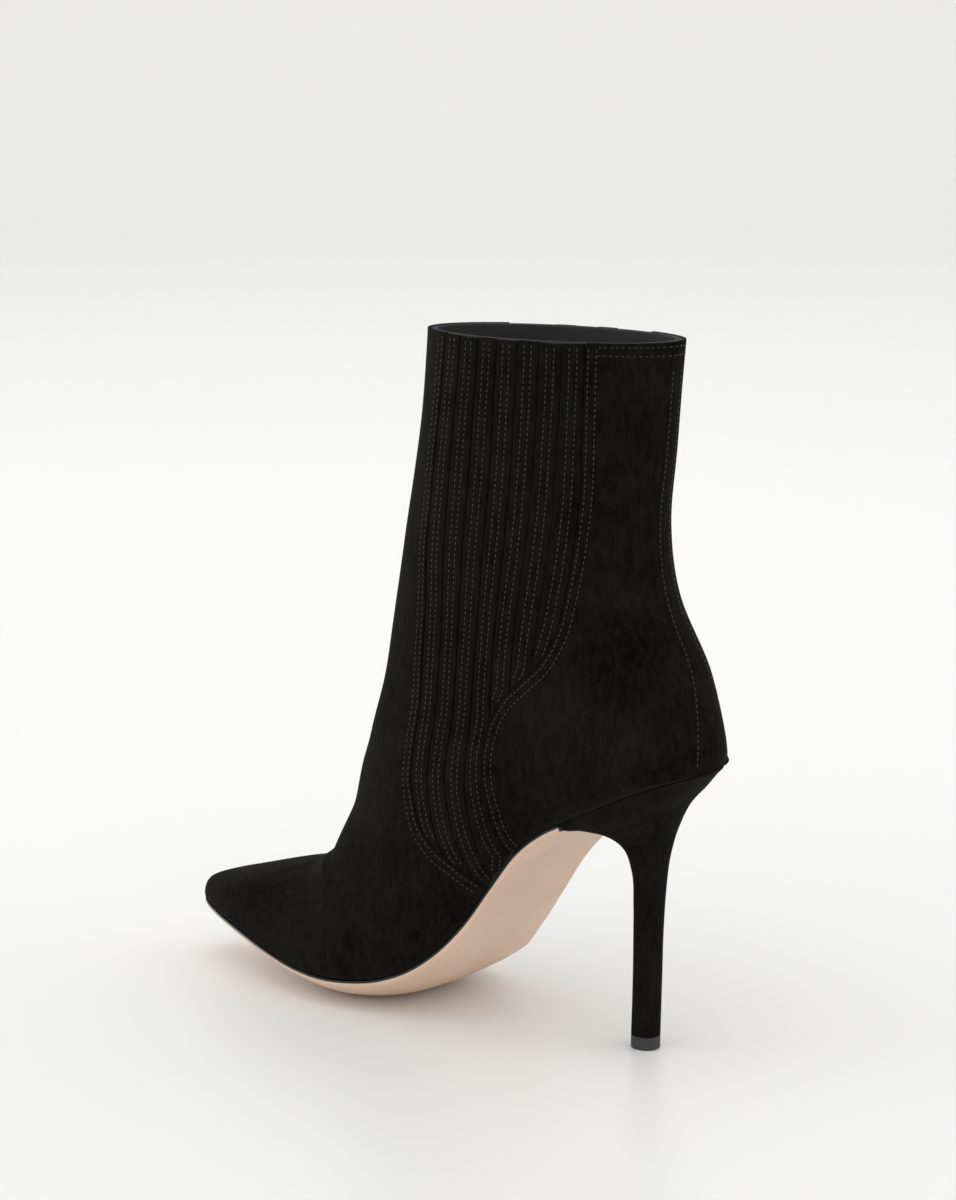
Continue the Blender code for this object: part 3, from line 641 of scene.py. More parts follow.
def link_object(name, data):
    made = bpy.data.objects.new(name, data)
    bpy.context.scene.collection.objects.link(made)
    return made


def mesh_piece(name, points, faces, looks, face_looks=None):
    """A finished mesh that rides with the boot."""
    mesh = bpy.data.meshes.new(name)
    mesh.from_pydata(np.asarray(points).tolist(), [], faces)
    for look in looks:
        mesh.materials.append(look)
    if face_looks is not None:
        mesh.polygons.foreach_set("material_index", np.asarray(face_looks, np.int32))
    work = bmesh.new()
    work.from_mesh(mesh)
    bmesh.ops.remove_doubles(work, verts=work.verts, dist=TINY)
    bmesh.ops.dissolve_degenerate(work, dist=TINY, edges=work.edges)
    bmesh.ops.recalc_face_normals(work, faces=work.faces)
    work.to_mesh(mesh)
    work.free()
    mesh.polygons.foreach_set("use_smooth", np.full(len(mesh.polygons), True))
    piece = link_object(name, mesh)
    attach(piece, "root")
    return piece


def sheet_faces(rows, columns, start=0, flip=False):
    """Quads of a grid of points, row by row."""
    i, j = np.meshgrid(np.arange(rows - 1), np.arange(columns - 1), indexing="ij")
    a = start + i * columns + j
    quads = np.stack([a, a + 1, a + columns + 1, a + columns], -1).reshape(-1, 4)
    return (quads[:, ::-1] if flip else quads).tolist()


def ring_faces(rows, count):
    """Quads between closed rings of points."""
    rings = [[i * count + j for j in range(count)] + [i * count] for i in range(rows)]
    return [(low[j], low[j + 1], high[j + 1], high[j])
            for low, high in zip(rings, rings[1:]) for j in range(count)]


def shell(name, outer, inner, look):
    """Closed sheet of leather between two grids that match point for point."""
    rows, columns = outer.shape[:2]
    count = rows * columns
    faces = sheet_faces(rows, columns) + sheet_faces(rows, columns, count, True)
    rim = list(range(columns))
    rim += [i * columns + columns - 1 for i in range(1, rows)]
    rim += [(rows - 1) * columns + j for j in range(columns - 2, -1, -1)]
    rim += [i * columns for i in range(rows - 2, 0, -1)]
    for a, b in zip(rim, rim[1:] + rim[:1]):
        faces.append((b, a, a + count, b + count))
    points = np.concatenate([outer.reshape(-1, 3), inner.reshape(-1, 3)])
    return mesh_piece(name, points, faces, [look])


def add_brushing(piece):
    """Marks how the nap lies, point by point, for the suede's colour."""
    points = np.array([v.co for v in piece.data.vertices])
    lie = np.zeros(len(points))
    for centre, reach, strength in BRUSHED:
        gap = np.linalg.norm(points - np.array(centre) / 1000, axis=1) * 1000
        lie += strength * np.exp(-((gap / reach) ** 2))
    mark = piece.data.attributes.new("nap_lie", "FLOAT", "POINT")
    mark.data.foreach_set("value", lie.astype(np.float32))


def settle_rim(grid, rows, u):
    """Puts the rim of a layer on the ruled bottom along the feather edge."""
    for j in (0, -1):
        low = (rows <= LAST_FOOT) & (np.abs(u[:, j]) > 1 - TINY)
        grid[low, j, 2] = seat_z(grid[low, j, 0], grid[low, j, 1])


def cover(name, rows, u, high, low, look, settled=0, brushed=True):
    """Closed layer between two heights over the outside.

    settled says how many of its faces, the inner one first, end on the ruled bottom.
    """
    grids = [laid(rows[:, None], u, height) for height in (high, low)]
    for grid in grids[2 - settled:]:
        settle_rim(grid, rows, u)
    piece = shell(name, grids[0], grids[1], look)
    if brushed:
        add_brushing(piece)
    return piece


def scan_across(rows, begin, end):
    """Fine steps along each row from one place to another, and the distance run at each."""
    u = begin[:, None] + (end - begin)[:, None] * np.linspace(0, 1, SCAN_STEPS)[None]
    return u, travelled(skin(rows[:, None], u))


def look_up(goals, run, u):
    """Places at some distances along each row."""
    return np.array([np.interp(goal, line, at) for goal, line, at in zip(goals, run, u)])


def spread(rows, begin, end, fine_begin, fine_end, count):
    """Columns along each row, placed by distance over the surface, and their distances.

    The fine distances lie beside the two ends; a row too short for them keeps them in proportion.
    """
    u, run = scan_across(rows, begin, end)
    placed = np.empty((len(rows), len(fine_begin) + count + len(fine_end)))
    reached = np.empty_like(placed)
    for i, line in enumerate(run):
        total = line[-1]
        fit = min(1, total / max(FINE_ROOM * (fine_begin[-1] + fine_end[-1]), TINY))
        first, last = fine_begin * fit, total - fine_end[::-1] * fit
        middle = first[-1] + (last[0] - first[-1]) * np.arange(1, count + 1) / (count + 1)
        reached[i] = np.concatenate([first, middle, last])
        placed[i] = np.interp(reached[i], line, u[i])
        if total < TINY:
            placed[i] = np.linspace(begin[i], end[i], placed.shape[1])
    return placed, reached


def meeting_row(side, table):
    """Row whose low end lies where a side view line reaches the feather edge."""
    scan = np.linspace(0, LAST_FOOT, MEETING_STEPS)
    line = side_line(table, side)
    low = skin(scan, np.full(len(scan), float(side)))
    behind = low[:, 0] < np.interp(low[:, 2], line[:, 1], line[:, 0])
    return scan[np.argmax(behind)]


def panel_edge(distance):
    """Height of a panel beside its gore: the cut edge, its lift over the strips and its rows' dips."""
    lift = PANEL_LIFT * (1 - smooth_step(distance / LIFT_WIDTH))
    return rounded_edge(distance) + lift + seam_dip(distance, PANEL_ROWS)


def make_front(suede):
    """Vamp and front of the shaft in one panel, from gore to gore over the top."""
    corners = [meeting_row(side, GORE_FRONT) for side in WORDS]
    rows = np.unique(np.concatenate([np.linspace(0, LAST, FRONT_ROWS), corners]))
    starts, ends = (1 - reach_of(rows, side, GORE_FRONT) for side in WORDS)
    u, run = spread(rows, starts, -ends, FINE_EDGE, FINE_EDGE, FRONT_COLUMNS)
    distance = np.minimum(run, run[:, -1:] - run)
    near_medial = run < run[:, -1:] / 2
    at_gore = np.where(near_medial, (rows > corners[0])[:, None], (rows > corners[1])[:, None])
    height = np.where(at_gore, panel_edge(distance), 0)
    piece = cover("upper_front", rows, u, height, -PANEL_BACK, suede, 1)
    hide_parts("upper")


def make_rear(side, suede):
    """Counter and back of the shaft on one side, from the gore to the back seam."""
    first = meeting_row(side, GORE_BACK)
    rows = first + (LAST - first) * np.linspace(0, 1, REAR_ROWS) ** REAR_CROWDING
    reach = np.maximum(reach_of(rows, side, GORE_BACK), HAIR)
    u, distance = spread(rows, (1 - reach) * side, np.full(len(rows), float(side)),
                         FINE_EDGE, FINE_EDGE[:2], REAR_COLUMNS)
    height = panel_edge(distance)
    height += seam_dip(COLLAR_RISE - skin(rows[:, None], u)[..., 2], COLLAR_ROWS)
    piece = cover("upper_rear_" + WORDS[side], rows, u, height, -PANEL_BACK, suede, 1)
    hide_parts("upper")


def strip_columns(rows, side, k, gap):
    """Columns of strip k on each row, a gap inside its lines, and their distances."""
    high = np.minimum(reach_of(rows, side, GORE_LINES[k]), reach_of(rows, side, GORE_FRONT))
    low = np.maximum(reach_of(rows, side, GORE_LINES[k + 1]), reach_of(rows, side, GORE_BACK))
    u, run = scan_across(rows, (1 - low) * side, (1 - np.maximum(high, low)) * side)
    reached = np.maximum(run[:, -1:] - 2 * gap, HAIR / 10) * STRIP_SHARES[None]
    return look_up(reached + gap, run, u), reached


def make_strip(side, k, suede):
    """One strip of the gore; returns the rows of stitches down its middle."""
    scan = np.linspace(0, LAST, SCAN_ROWS)
    _, run = strip_columns(scan, side, k, 0)
    first = scan[np.argmax(run[:, -1] > 3 * STRIP_GAP)]
    last = LAST - STRIP_ENDS[k]
    rows = first + (last - first) * np.linspace(0, 1, STRIP_ROWS) ** STRIP_CROWDING
    u, run = strip_columns(rows, side, k, STRIP_GAP)
    wide = run[:, -1:]
    from_middle = np.abs(run - wide / 2)
    bulge = STRIP_PILLOW * np.clip(1 - (from_middle / np.maximum(wide / 2, HAIR)) ** 2, 0, 1)
    height = rounded_edge(np.minimum(run, wide - run)) + bulge
    height += seam_dip(from_middle, (STRIP_HALF_ROW,)) - STRIP_TOP
    word = WORDS[side]
    piece = cover("strip_%s_%d" % (word, k + 1), rows, u, height, -STRIP_BACK, suede)
    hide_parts("gore_strip_%s_%d" % (word, k + 1))
    keep = wide[:, 0] > 2 * STRIP_HALF_ROW + STRIP_ROW_ROOM
    fine = np.linspace(rows[keep][0], last - STRIP_SEWN_END, 4 * STRIP_ROWS)
    lines = []
    for way in (-1, 1):
        place = look_up(wide[:, 0] / 2 + way * STRIP_HALF_ROW, run, u)
        at = np.interp(fine, rows[keep], place[keep])
        lines.append(sewn_line(fine, at, STRIP_PILLOW - STRIP_TOP - SEAM_DEPTH / 2))
    return lines


def sewn_line(q, u, height):
    return laid(q, u, height), outward(q, u)


def make_backing(side, cloth):
    """Dark stretch cloth under the strips."""
    scan = np.linspace(0, LAST, SCAN_ROWS)
    first = scan[np.argmax(reach_of(scan, side, GORE_FRONT) > 0)]
    rows = np.linspace(first, LAST - BACKING_END, REAR_ROWS)
    low = reach_of(rows, side, GORE_BACK)
    high = np.maximum(reach_of(rows, side, GORE_FRONT), low + HAIR)
    w = low[:, None] + (high - low)[:, None] * np.linspace(0, 1, BACKING_COLUMNS)[None]
    piece = cover("gore_cloth_" + WORDS[side], rows, (1 - w) * side, -BACKING_TOP, -PANEL_BACK,
                  cloth, brushed=False)
    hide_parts("upper")


def panel_lines(side):
    """Double rows of stitches beside both edges of the gore."""
    lines = []
    scan = np.linspace(0, LAST - GORE_SEWN_END, SCAN_ROWS)
    for table, way in ((GORE_FRONT, 1), (GORE_BACK, -1)):
        reach = reach_of(scan, side, table)
        for distance in PANEL_ROWS:
            q, w = beside(scan, reach, side, way * distance)
            lines.append(sewn_line(q, (1 - w) * side, PANEL_LIFT - SEAM_DEPTH / 2))
    return lines


def beside(rows, reach, side, distance):
    """Rows and places of a line moved across itself over the surface, where it is on the boot."""
    points = skin(rows, (1 - reach) * side)
    run = unit(np.gradient(points, axis=0))
    ways = unit(np.cross(run, outward(rows, (1 - reach) * side)))
    goal = points + ways * (distance * np.sign(ways[:, 0].sum()))
    q, w = rows.copy(), reach.copy()
    for _ in range(MOVES):
        u = (1 - w) * side
        step_q = nudged(q, u, NORMAL_STEP, 0) / (2 * NORMAL_STEP)
        step_w = nudged(q, u, 0, -NORMAL_STEP * side) / (2 * NORMAL_STEP)
        miss = goal - skin(q, u)
        a, b, c = (np.sum(m * n, 1) for m, n in ((step_q, step_q), (step_q, step_w), (step_w, step_w)))
        d, e = (np.sum(step * miss, 1) for step in (step_q, step_w))
        scale = np.maximum(a * c - b * b, TINY**2)
        q = np.clip(q + np.clip((c * d - b * e) / scale, -MOVE_ROWS, MOVE_ROWS), 0, LAST)
        w = np.clip(w + np.clip((a * e - b * d) / scale, -MOVE_PLACE, MOVE_PLACE), 0, 1)
    keep = (reach > LOW_REACH) & (w > LOW_PLACE) & (q < LAST - STRIP_SEWN_END)
    return q[keep], w[keep]


def round_collar(w, side, height):
    """Double row of stitches below the collar through some places."""
    rows = [np.full(len(w), LAST - below / COLLAR_ROW) for below in COLLAR_ROWS]
    return [sewn_line(q, (1 - w) * side, height) for q in rows]


def collar_lines(side):
    """Double row round the back of the collar on one side."""
    rows = np.array([LAST - COLLAR_MEET])
    reach = reach_of(rows, side, GORE_BACK)[0]
    edge = reach - PANEL_ROWS[1] / speed(rows, (1 - reach) * side)[0]
    w = np.linspace(edge, BESIDE_BACK, SEWN_POINTS["collar"])
    return round_collar(w, side, -SEAM_DEPTH / 2)


def back_reach(rows):
    """Place up each row of the back strip's edge."""
    steps = np.linspace(0, 0.4, SCAN_STEPS)
    points = skin(rows[:, None], (1 - steps)[None])
    heights = above_seat(column(BACK_EDGE, 0)[::-1])
    half = np.interp(points[..., 2], heights, column(BACK_EDGE, 1)[::-1] * BALL_WIDTH)
    return steps[np.argmax(points[..., 1] >= half, axis=1)]


def make_back_strip(suede):
    """Strip down the back seam, with a row of stitches inside each edge."""
    scan = np.linspace(LAST_FOOT + 0.001, LAST, SCAN_ROWS)
    foot = above_seat(BACK_EDGE[-1][0])
    first = np.interp(foot, skin(scan, np.ones(len(scan)))[:, 2], scan)
    rows = np.linspace(first, LAST - LAYER_END, REAR_ROWS)
    reach = spline(rows[::10], back_reach(rows)[::10], rows)
    u = 1 - reach[:, None] * BACK_SHARES[None]
    base = skin(rows[:, None], u)
    run = travelled(base)
    distance = np.minimum(run, run[:, -1:] - run)
    height = BACK_PROUD + rounded_edge(distance) + seam_dip(distance, (BACK_ROW_IN,))
    height += seam_dip(COLLAR_RISE - base[..., 2], COLLAR_ROWS)
    piece = cover("back_stay", rows, u, height, -BACK_PROUD, suede)
    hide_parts("back_strip")
    sewn = BACK_PROUD - SEAM_DEPTH / 2
    place = reach - BACK_ROW_IN / speed(rows, np.full(len(rows), BACK_PLACE))
    fine = np.linspace(rows[0] + BACK_SEWN_START, LAST - BACK_SEWN_END, SEWN_POINTS["back"])
    lines = [sewn_line(fine, (1 - np.interp(fine, rows, place)) * side, sewn) for side in WORDS]
    return lines + round_collar(np.linspace(-ON_BACK, ON_BACK, SEWN_POINTS["back_collar"]), 1, sewn)


def make_stitches(name, lines, thread):
    """All stitches of some lines in one mesh: short loops of thread that dive in at both ends."""
    turn = np.arange(THREAD_SIDES) * 2 * np.pi / THREAD_SIDES
    starts, stops, ways = [], [], []
    for points, normals in lines:
        run = travelled(points)
        count = max(int(run[-1] / PITCH), 1)
        centre = (np.arange(count) + 0.5) * run[-1] / count
        for at, values, held in ((centre - STITCH / 2, points, starts), (centre + STITCH / 2, points, stops),
                                 (centre, normals, ways)):
            held.append(np.stack([np.interp(at, run, values[:, k]) for k in range(3)], 1))
    start, stop, out = (np.concatenate(part) for part in (starts, stops, ways))
    out = unit(out)
    lie = stop - start
    side = unit(np.cross(lie, out))
    rise = THREAD_ARCH * np.sin(np.pi * THREAD_LENGTH) - THREAD_SUNK
    centres = start[:, None] + lie[:, None] * THREAD_LENGTH[None, :, None]
    centres = centres + out[:, None] * rise[None, :, None]
    wide = side[:, None, None] * (np.cos(turn) * THREAD_WIDE / 2)[None, None, :, None]
    high = out[:, None, None] * (np.sin(turn) * THREAD_HIGH / 2)[None, None, :, None]
    points = centres[:, :, None] + (wide + high) * THREAD_GIRTH[None, :, None, None]
    block = len(THREAD_LENGTH) * THREAD_SIDES
    faces = ring_faces(len(THREAD_LENGTH), THREAD_SIDES)
    faces += [tuple(range(THREAD_SIDES - 1, -1, -1)), tuple(range(block - THREAD_SIDES, block))]
    every = [tuple(c + block * n for c in face) for n in range(len(start)) for face in faces]
    mesh_piece(name, points.reshape(-1, 3), every, [thread])


def make_lining(cloth):
    """Lining of the shaft and foot, seen through the collar."""
    rows = np.linspace(LINING_START, LAST - LAYER_END, LINING_ROWS)
    u = np.tile(np.linspace(1, -1, LINING_COLUMNS), (LINING_ROWS, 1))
    piece = cover("upper_lining", rows, u, -LINING_TOP, -WALL, cloth, 2, False)
    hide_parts("upper")


def make_facing(cloth):
    """Band inside the collar, with a turned lower edge."""
    rows = np.linspace(LAST - FACING_DEPTH / COLLAR_ROW, LAST - FACING_END, FACING_ROWS)
    turned = np.exp(-(((rows[:, None] - rows[0]) / TURNED_ROWS) ** 2)) * TURNED_DEPTH
    u = np.linspace(1, -1, LINING_COLUMNS * 2)[None]
    piece = cover("collar_band", rows, u, -WALL - GAP, -WALL - GAP - FACING + turned,
                  cloth, brushed=False)
    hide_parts("collar_facing")


def plan_edge(along, inset):
    """Medial and lateral edge points in plan, moved inwards."""
    x = station_x(along)
    medial, lateral = half_widths(along)
    loop = np.concatenate([np.stack([x, medial], 1), np.stack([x, -lateral], 1)[-2:0:-1]])
    run = np.roll(loop, -1, 0) - np.roll(loop, 1, 0)
    run /= np.linalg.norm(run, axis=1, keepdims=True)
    loop = loop + np.stack([run[:, 1], -run[:, 0]], 1) * inset
    count = len(along)
    return loop[:count], np.concatenate([loop[:1], loop[: count - 2 : -1]])


def bottom_points(plan, top, drop):
    x, y = plan[..., 0], plan[..., 1]
    return np.stack([x, y, seat_z(x, y) + top * steepness(x) - crown(x, y) * drop], -1)


def breast_along(extra):
    return along_of(np.array((BREAST_AT - HEEL_AT) * LENGTH + extra))


def make_outsole(leather, edge_paint):
    """Thin leather sole: painted edge, bare underside."""
    alongs = np.linspace(0, 1, 2 * SOLE_ROWS)
    breast = float(breast_along(GAP))
    clear = np.abs(alongs - breast) > BREAST_ROOM
    alongs = np.sort(np.append(alongs[clear], breast))
    start = int(np.searchsorted(alongs, breast))
    medial, lateral = [], []
    for inset, share in SOLE_SIDE:
        drop = GAP + (SOLE - GAP) * share
        level = DISH + (1 - DISH) * share
        for plan, held in zip(plan_edge(alongs, inset), (medial, lateral)):
            held.append(bottom_points(plan[start:], -drop, level))
    flats = []
    for place, drop, level in ((-1, SOLE, 1.0), (0, GAP, DISH)):
        s = (1 - np.cos(np.pi * np.linspace(0, 1, SOLE_ACROSS)[1:-1]))[None, :, None] / 2
        plan = medial[place][:, None, :2] * (1 - s) + lateral[place][:, None, :2] * s
        flats.append(bottom_points(plan, -drop, level))
    sides = len(SOLE_SIDE)
    loop = [np.stack(medial, 1), flats[0], np.stack(lateral[::-1], 1), flats[1][:, ::-1]]
    rings = np.concatenate(loop, 1)
    rings[..., 2] = np.maximum(rings[..., 2], 0)
    rows, count = rings.shape[:2]
    lateral_end = 2 * sides + SOLE_ACROSS - 3
    painted = [j < PAINTED or lateral_end - PAINTED <= j < lateral_end for j in range(count)]
    faces = ring_faces(rows, count) + [(rows * count, (j + 1) % count, j) for j in range(count)]
    looks = painted * (rows - 1) + [1] * count
    points = np.concatenate([rings.reshape(-1, 3), rings[0].mean(0, keepdims=True)])
    piece = mesh_piece("outsole_leather", points, faces, [leather, edge_paint], looks)
    mark_sharp(piece, 50)
    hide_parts("outsole")


def mark_sharp(piece, degrees):
    piece.data.set_sharp_from_angle(angle=math.radians(degrees))


def make_sock(cloth):
    """Insole with its sock, seen through the collar."""
    alongs = np.linspace(0, 1, SOLE_ROWS)
    inset = WALL + GAP + INSOLE_EASE
    medial, lateral = plan_edge(alongs, inset)
    s = (1 - np.cos(np.pi * np.linspace(0, 1, SOLE_ACROSS)))[None, :, None] / 2
    plan = lateral[:, None] * (1 - s) + medial[:, None] * s
    grids = [bottom_points(plan, top, DISH) for top in (INSOLE, INSOLE_LIFT)]
    edge = np.minimum(s, 1 - s)[..., 0] < SOCK_EDGE
    grids[0][..., 2] -= np.where(edge, SOCK_DROP, 0)
    piece = shell("insole_sock", grids[0], grids[1], cloth)
    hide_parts("insole")


def heel_half(count):
    """Half of the heel's D section, round behind and flatter ahead: share from the back, half width."""
    turn = np.linspace(0, np.pi, count)
    ahead = turn > np.pi / 2
    u = np.where(ahead, (1 + np.abs(np.cos(turn)) ** D_POWER) / 2, (1 - np.cos(turn)) / 2)
    w = np.where(ahead, np.abs(np.sin(turn)) ** D_POWER, np.sin(turn))
    w[-1] = 0
    return u, w


def whole_ring(u, w):
    """Both halves of a section, from the back round the medial side and home."""
    return np.concatenate([u, u[-2:0:-1]]), np.concatenate([w, -w[-2:0:-1]])


def heel_levels():
    """The heel's rings as its solid has them, from the seat to the top piece."""
    alongs = np.linspace(0, float(breast_along(0)), HEEL_SIDE)
    x = station_x(alongs)
    half, _ = half_widths(alongs)
    corner = np.sin(np.linspace(0, np.pi / 2, BREAST_POINTS)[1:])
    x = np.concatenate([x, np.full(BREAST_POINTS - 1, x[-1])])
    y = np.concatenate([half, half[-1] * (1 - corner)])
    seat = (x - x[0]) / (x[-1] - x[0]), y / half[-1]
    stem = heel_half(len(x))
    ring_x, ring_y = whole_ring(x, y)
    ruled = seat_z(ring_x, ring_y)
    lean = ruled - seat_z(ring_x, np.abs(ring_y))
    rings = []
    middle = np.array([ring_x.mean(), 0])
    for drop, out in SEAT_RINGS:
        plan = np.stack([ring_x, ring_y], 1)
        plan = plan + unit(plan - middle) * out
        rings.append(np.stack([plan[:, 0], plan[:, 1], ruled - drop * steepness(ring_x)], 1))
    for back_z, front_z, back, ahead, wide, keep in HEEL:
        u, w = whole_ring(seat[0] * keep + stem[0] * (1 - keep), seat[1] * keep + stem[1] * (1 - keep))
        heights = (back_z + (front_z - back_z) * u) * SEAT_RISE + lean * keep
        rings.append(np.stack([(back + (ahead - back) * u) * BALL_WIDTH, w * wide * BALL_WIDTH, heights], 1))
    rings.append(tip_ring(stem, 0, TIP_RISE + GAP))
    return np.array(rings)


def tip_ring(half, inset, z):
    u, w = whole_ring(*half)
    x = (u - 0.5) * (TIP_LENGTH - 2 * inset)
    return np.stack([x, w * (TIP_WIDTH / 2 - inset), np.full(len(u), z)], 1)


def ring_piece(name, rings, look):
    """Closed solid through rings, each end closed by a fan."""
    rows, count = rings.shape[:2]
    points = np.concatenate([rings.reshape(-1, 3), [rings[0].mean(0)], [rings[-1].mean(0)]])
    faces = ring_faces(rows, count)
    last = (rows - 1) * count
    for j in range(count):
        after = (j + 1) % count
        faces += [(rows * count, after, j), (rows * count + 1, last + j, last + after)]
    return mesh_piece(name, points, faces, [look])


def make_heel(suede, rubber):
    """Slim heel covered in suede, and the top piece under it."""
    levels = heel_levels()
    gaps = np.linalg.norm(np.diff(levels, axis=0), axis=2).mean(1)
    run = np.concatenate([[0], np.cumsum(gaps)])
    seat = len(SEAT_RINGS)
    at = np.concatenate([run[:seat], np.linspace(run[seat - 1], run[-1], HEEL_RINGS)[1:]])
    flat = levels.reshape(len(levels), -1)
    rings = np.stack([spline(run, flat[:, k], at) for k in range(flat.shape[1])], 1)
    rings = rings.reshape(len(at), -1, 3)
    piece = ring_piece("heel_cover", rings, suede)
    mark_sharp(piece, 48)
    add_brushing(piece)
    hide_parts("heel")
    half = heel_half(TIP_POINTS)
    tip = np.array([tip_ring(half, inset, z) for inset, z in TIP_RINGS])
    tip_piece = ring_piece("heel_tip", tip, rubber)
    mark_sharp(tip_piece, 40)
    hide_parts("heel_top_piece")


def new_group(name, inputs, outputs):
    """Node group with number inputs and the named outputs, and its two end nodes."""
    group = bpy.data.node_groups.new(name, "ShaderNodeTree")
    for label, value in inputs:
        socket = group.interface.new_socket(name=label, in_out="INPUT", socket_type="NodeSocketFloat")
        socket.default_value = value
    for label in outputs:
        group.interface.new_socket(name=label, in_out="OUTPUT", socket_type="NodeSocketFloat")
    start = group.nodes.new("NodeGroupInput")
    end = group.nodes.new("NodeGroupOutput")
    return group, start, end


def add_node(tree, kind, inputs, **settings):
    """Node with its inputs fed by sockets or plain values."""
    node = tree.nodes.new("ShaderNode" + kind)
    for key, value in settings.items():
        setattr(node, key, value)
    for key, value in inputs.items():
        if isinstance(value, bpy.types.NodeSocket):
            tree.links.new(value, node.inputs[key])
        else:
            node.inputs[key].default_value = value
    return node


def math_node(tree, operation, first, second):
    return add_node(tree, "Math", {0: first, 1: second}, operation=operation).outputs[0]


def noise_node(tree, where, scale, detail, roughness, distortion=0.0):
    inputs = {"Vector": where, "Scale": scale, "Detail": detail, "Roughness": roughness}
    return add_node(tree, "TexNoise", {**inputs, "Distortion": distortion}).outputs["Fac"]


def ranged(tree, value, low, high):
    """Value mapped from low..high onto 0..1."""
    return add_node(tree, "MapRange", {"Value": value, "From Min": low, "From Max": high}).outputs["Result"]


def make_nap_group():
    """Suede nap: short fibres lying down the boot, with soft brushed patches."""
    group, start, end = new_group("suede nap", (("Fibre Scale", 1500.0), ("Patch Scale", 36.0)),
                                  ("Patches", "Fibres", "Height"))
    where = group.nodes.new("ShaderNodeTexCoord").outputs["Object"]
    patch = noise_node(group, where, start.outputs["Patch Scale"], 3.0, 0.6, 0.7)
    long_place = add_node(group, "Mapping", {"Vector": where, "Scale": (1.0, 1.0, 0.35)}).outputs["Vector"]
    fibre = noise_node(group, long_place, start.outputs["Fibre Scale"], 3.0, 0.65)
    clump = noise_node(group, long_place, 520.0, 2.0, 0.6, 0.3)
    height = weighed(group, clump, 0.55, fibre, 0.6)
    group.links.new(ranged(group, patch, 0.32, 0.70), end.inputs["Patches"])
    tufts = weighed(group, fibre, 0.4, clump, 0.6)
    group.links.new(ranged(group, tufts, 0.38, 0.64), end.inputs["Fibres"])
    group.links.new(height, end.inputs["Height"])
    return group


def make_grain_group():
    """Smooth leather or cloth grain: small pits over broad tone."""
    group, start, end = new_group("fine grain", (("Grain Scale", 900.0), ("Tone Scale", 30.0)),
                                  ("Tone", "Grain"))
    where = group.nodes.new("ShaderNodeTexCoord").outputs["Object"]
    tone = noise_node(group, where, start.outputs["Tone Scale"], 4.0, 0.55, 0.4)
    grain = noise_node(group, where, start.outputs["Grain Scale"], 4.0, 0.6)
    group.links.new(ranged(group, tone, 0.3, 0.72), end.inputs["Tone"])
    group.links.new(grain, end.inputs["Grain"])
    return group


def make_weave_group():
    """Plain weave of lining cloth."""
    group, start, end = new_group("plain weave", (("Threads", 5200.0),), ("Weave",))
    where = group.nodes.new("ShaderNodeTexCoord").outputs["Object"]
    parts = group.nodes.new("ShaderNodeSeparateXYZ")
    group.links.new(where, parts.inputs[0])
    around = math_node(group, "ADD", parts.outputs["X"], parts.outputs["Y"])
    waves = []
    for place in (around, parts.outputs["Z"]):
        turned = math_node(group, "MULTIPLY", place, start.outputs["Threads"])
        waves.append(math_node(group, "SINE", turned, 0.0))
    both = math_node(group, "MULTIPLY", waves[0], waves[1])
    group.links.new(math_node(group, "MULTIPLY_ADD", both, 0.5), end.inputs["Weave"])
    return group


def weighed(tree, first, one, second, other):
    """Sum of two values times their weights."""
    return math_node(tree, "ADD", math_node(tree, "MULTIPLY", first, one),
                     math_node(tree, "MULTIPLY", second, other))


def start_material(name, settings):
    """Material with constants on its shader's sockets."""
    made = bpy.data.materials.new(name)
    made.use_nodes = True
    shader = made.node_tree.nodes["Principled BSDF"]
    for label, value in settings.items():
        shader.inputs[label].default_value = value
    return made, made.node_tree, shader


def colour_between(tree, amount, dark, light):
    inputs = {"Factor": amount, "A": (*dark, 1), "B": (*light, 1)}
    return add_node(tree, "Mix", inputs, data_type="RGBA").outputs["Result"]


def add_bump(tree, shader, height, strength, distance):
    node = add_node(tree, "Bump", {"Strength": strength, "Distance": distance, "Height": height})
    tree.links.new(node.outputs["Normal"], shader.inputs["Normal"])


def suede_material(name, nap, dark, light, lie_strength):
    """Black suede: matt, and a little lighter at glancing angles and where the nap is brushed up."""
    made, tree, shader = start_material(name, {
        "Roughness": 0.92, "Specular IOR Level": 0.03, "Sheen Weight": 0.02, "Sheen Roughness": 0.45,
        "Sheen Tint": (0.90, 0.92, 1.0, 1),
    })
    grain = add_node(tree, "Group", {}, node_tree=nap)
    lie = add_node(tree, "Attribute", {}, attribute_name="nap_lie")
    tone = weighed(tree, grain.outputs["Patches"], 0.40, grain.outputs["Fibres"], 0.55)
    brushed = math_node(tree, "MULTIPLY", lie.outputs["Fac"], lie_strength)
    amount = math_node(tree, "MINIMUM", math_node(tree, "ADD", tone, brushed), 1.0)
    clamp = math_node(tree, "MAXIMUM", amount, 0.0)
    tree.links.new(colour_between(tree, clamp, dark, light), shader.inputs["Base Color"])
    add_bump(tree, shader, grain.outputs["Height"], 0.55, 0.00035)
    return made


def leather_material(grain_group, name, dark, light, roughness, coat, bump, scale):
    settings = {"Roughness": roughness, "Coat Weight": coat, "Coat Roughness": 0.15}
    made, tree, shader = start_material(name, settings)
    grain = add_node(tree, "Group", {}, node_tree=grain_group)
    grain.inputs["Grain Scale"].default_value = scale
    mixed = weighed(tree, grain.outputs["Tone"], 0.7, grain.outputs["Grain"], 0.3)
    tree.links.new(colour_between(tree, mixed, dark, light), shader.inputs["Base Color"])
    add_bump(tree, shader, grain.outputs["Grain"], bump, 0.0001)
    return made


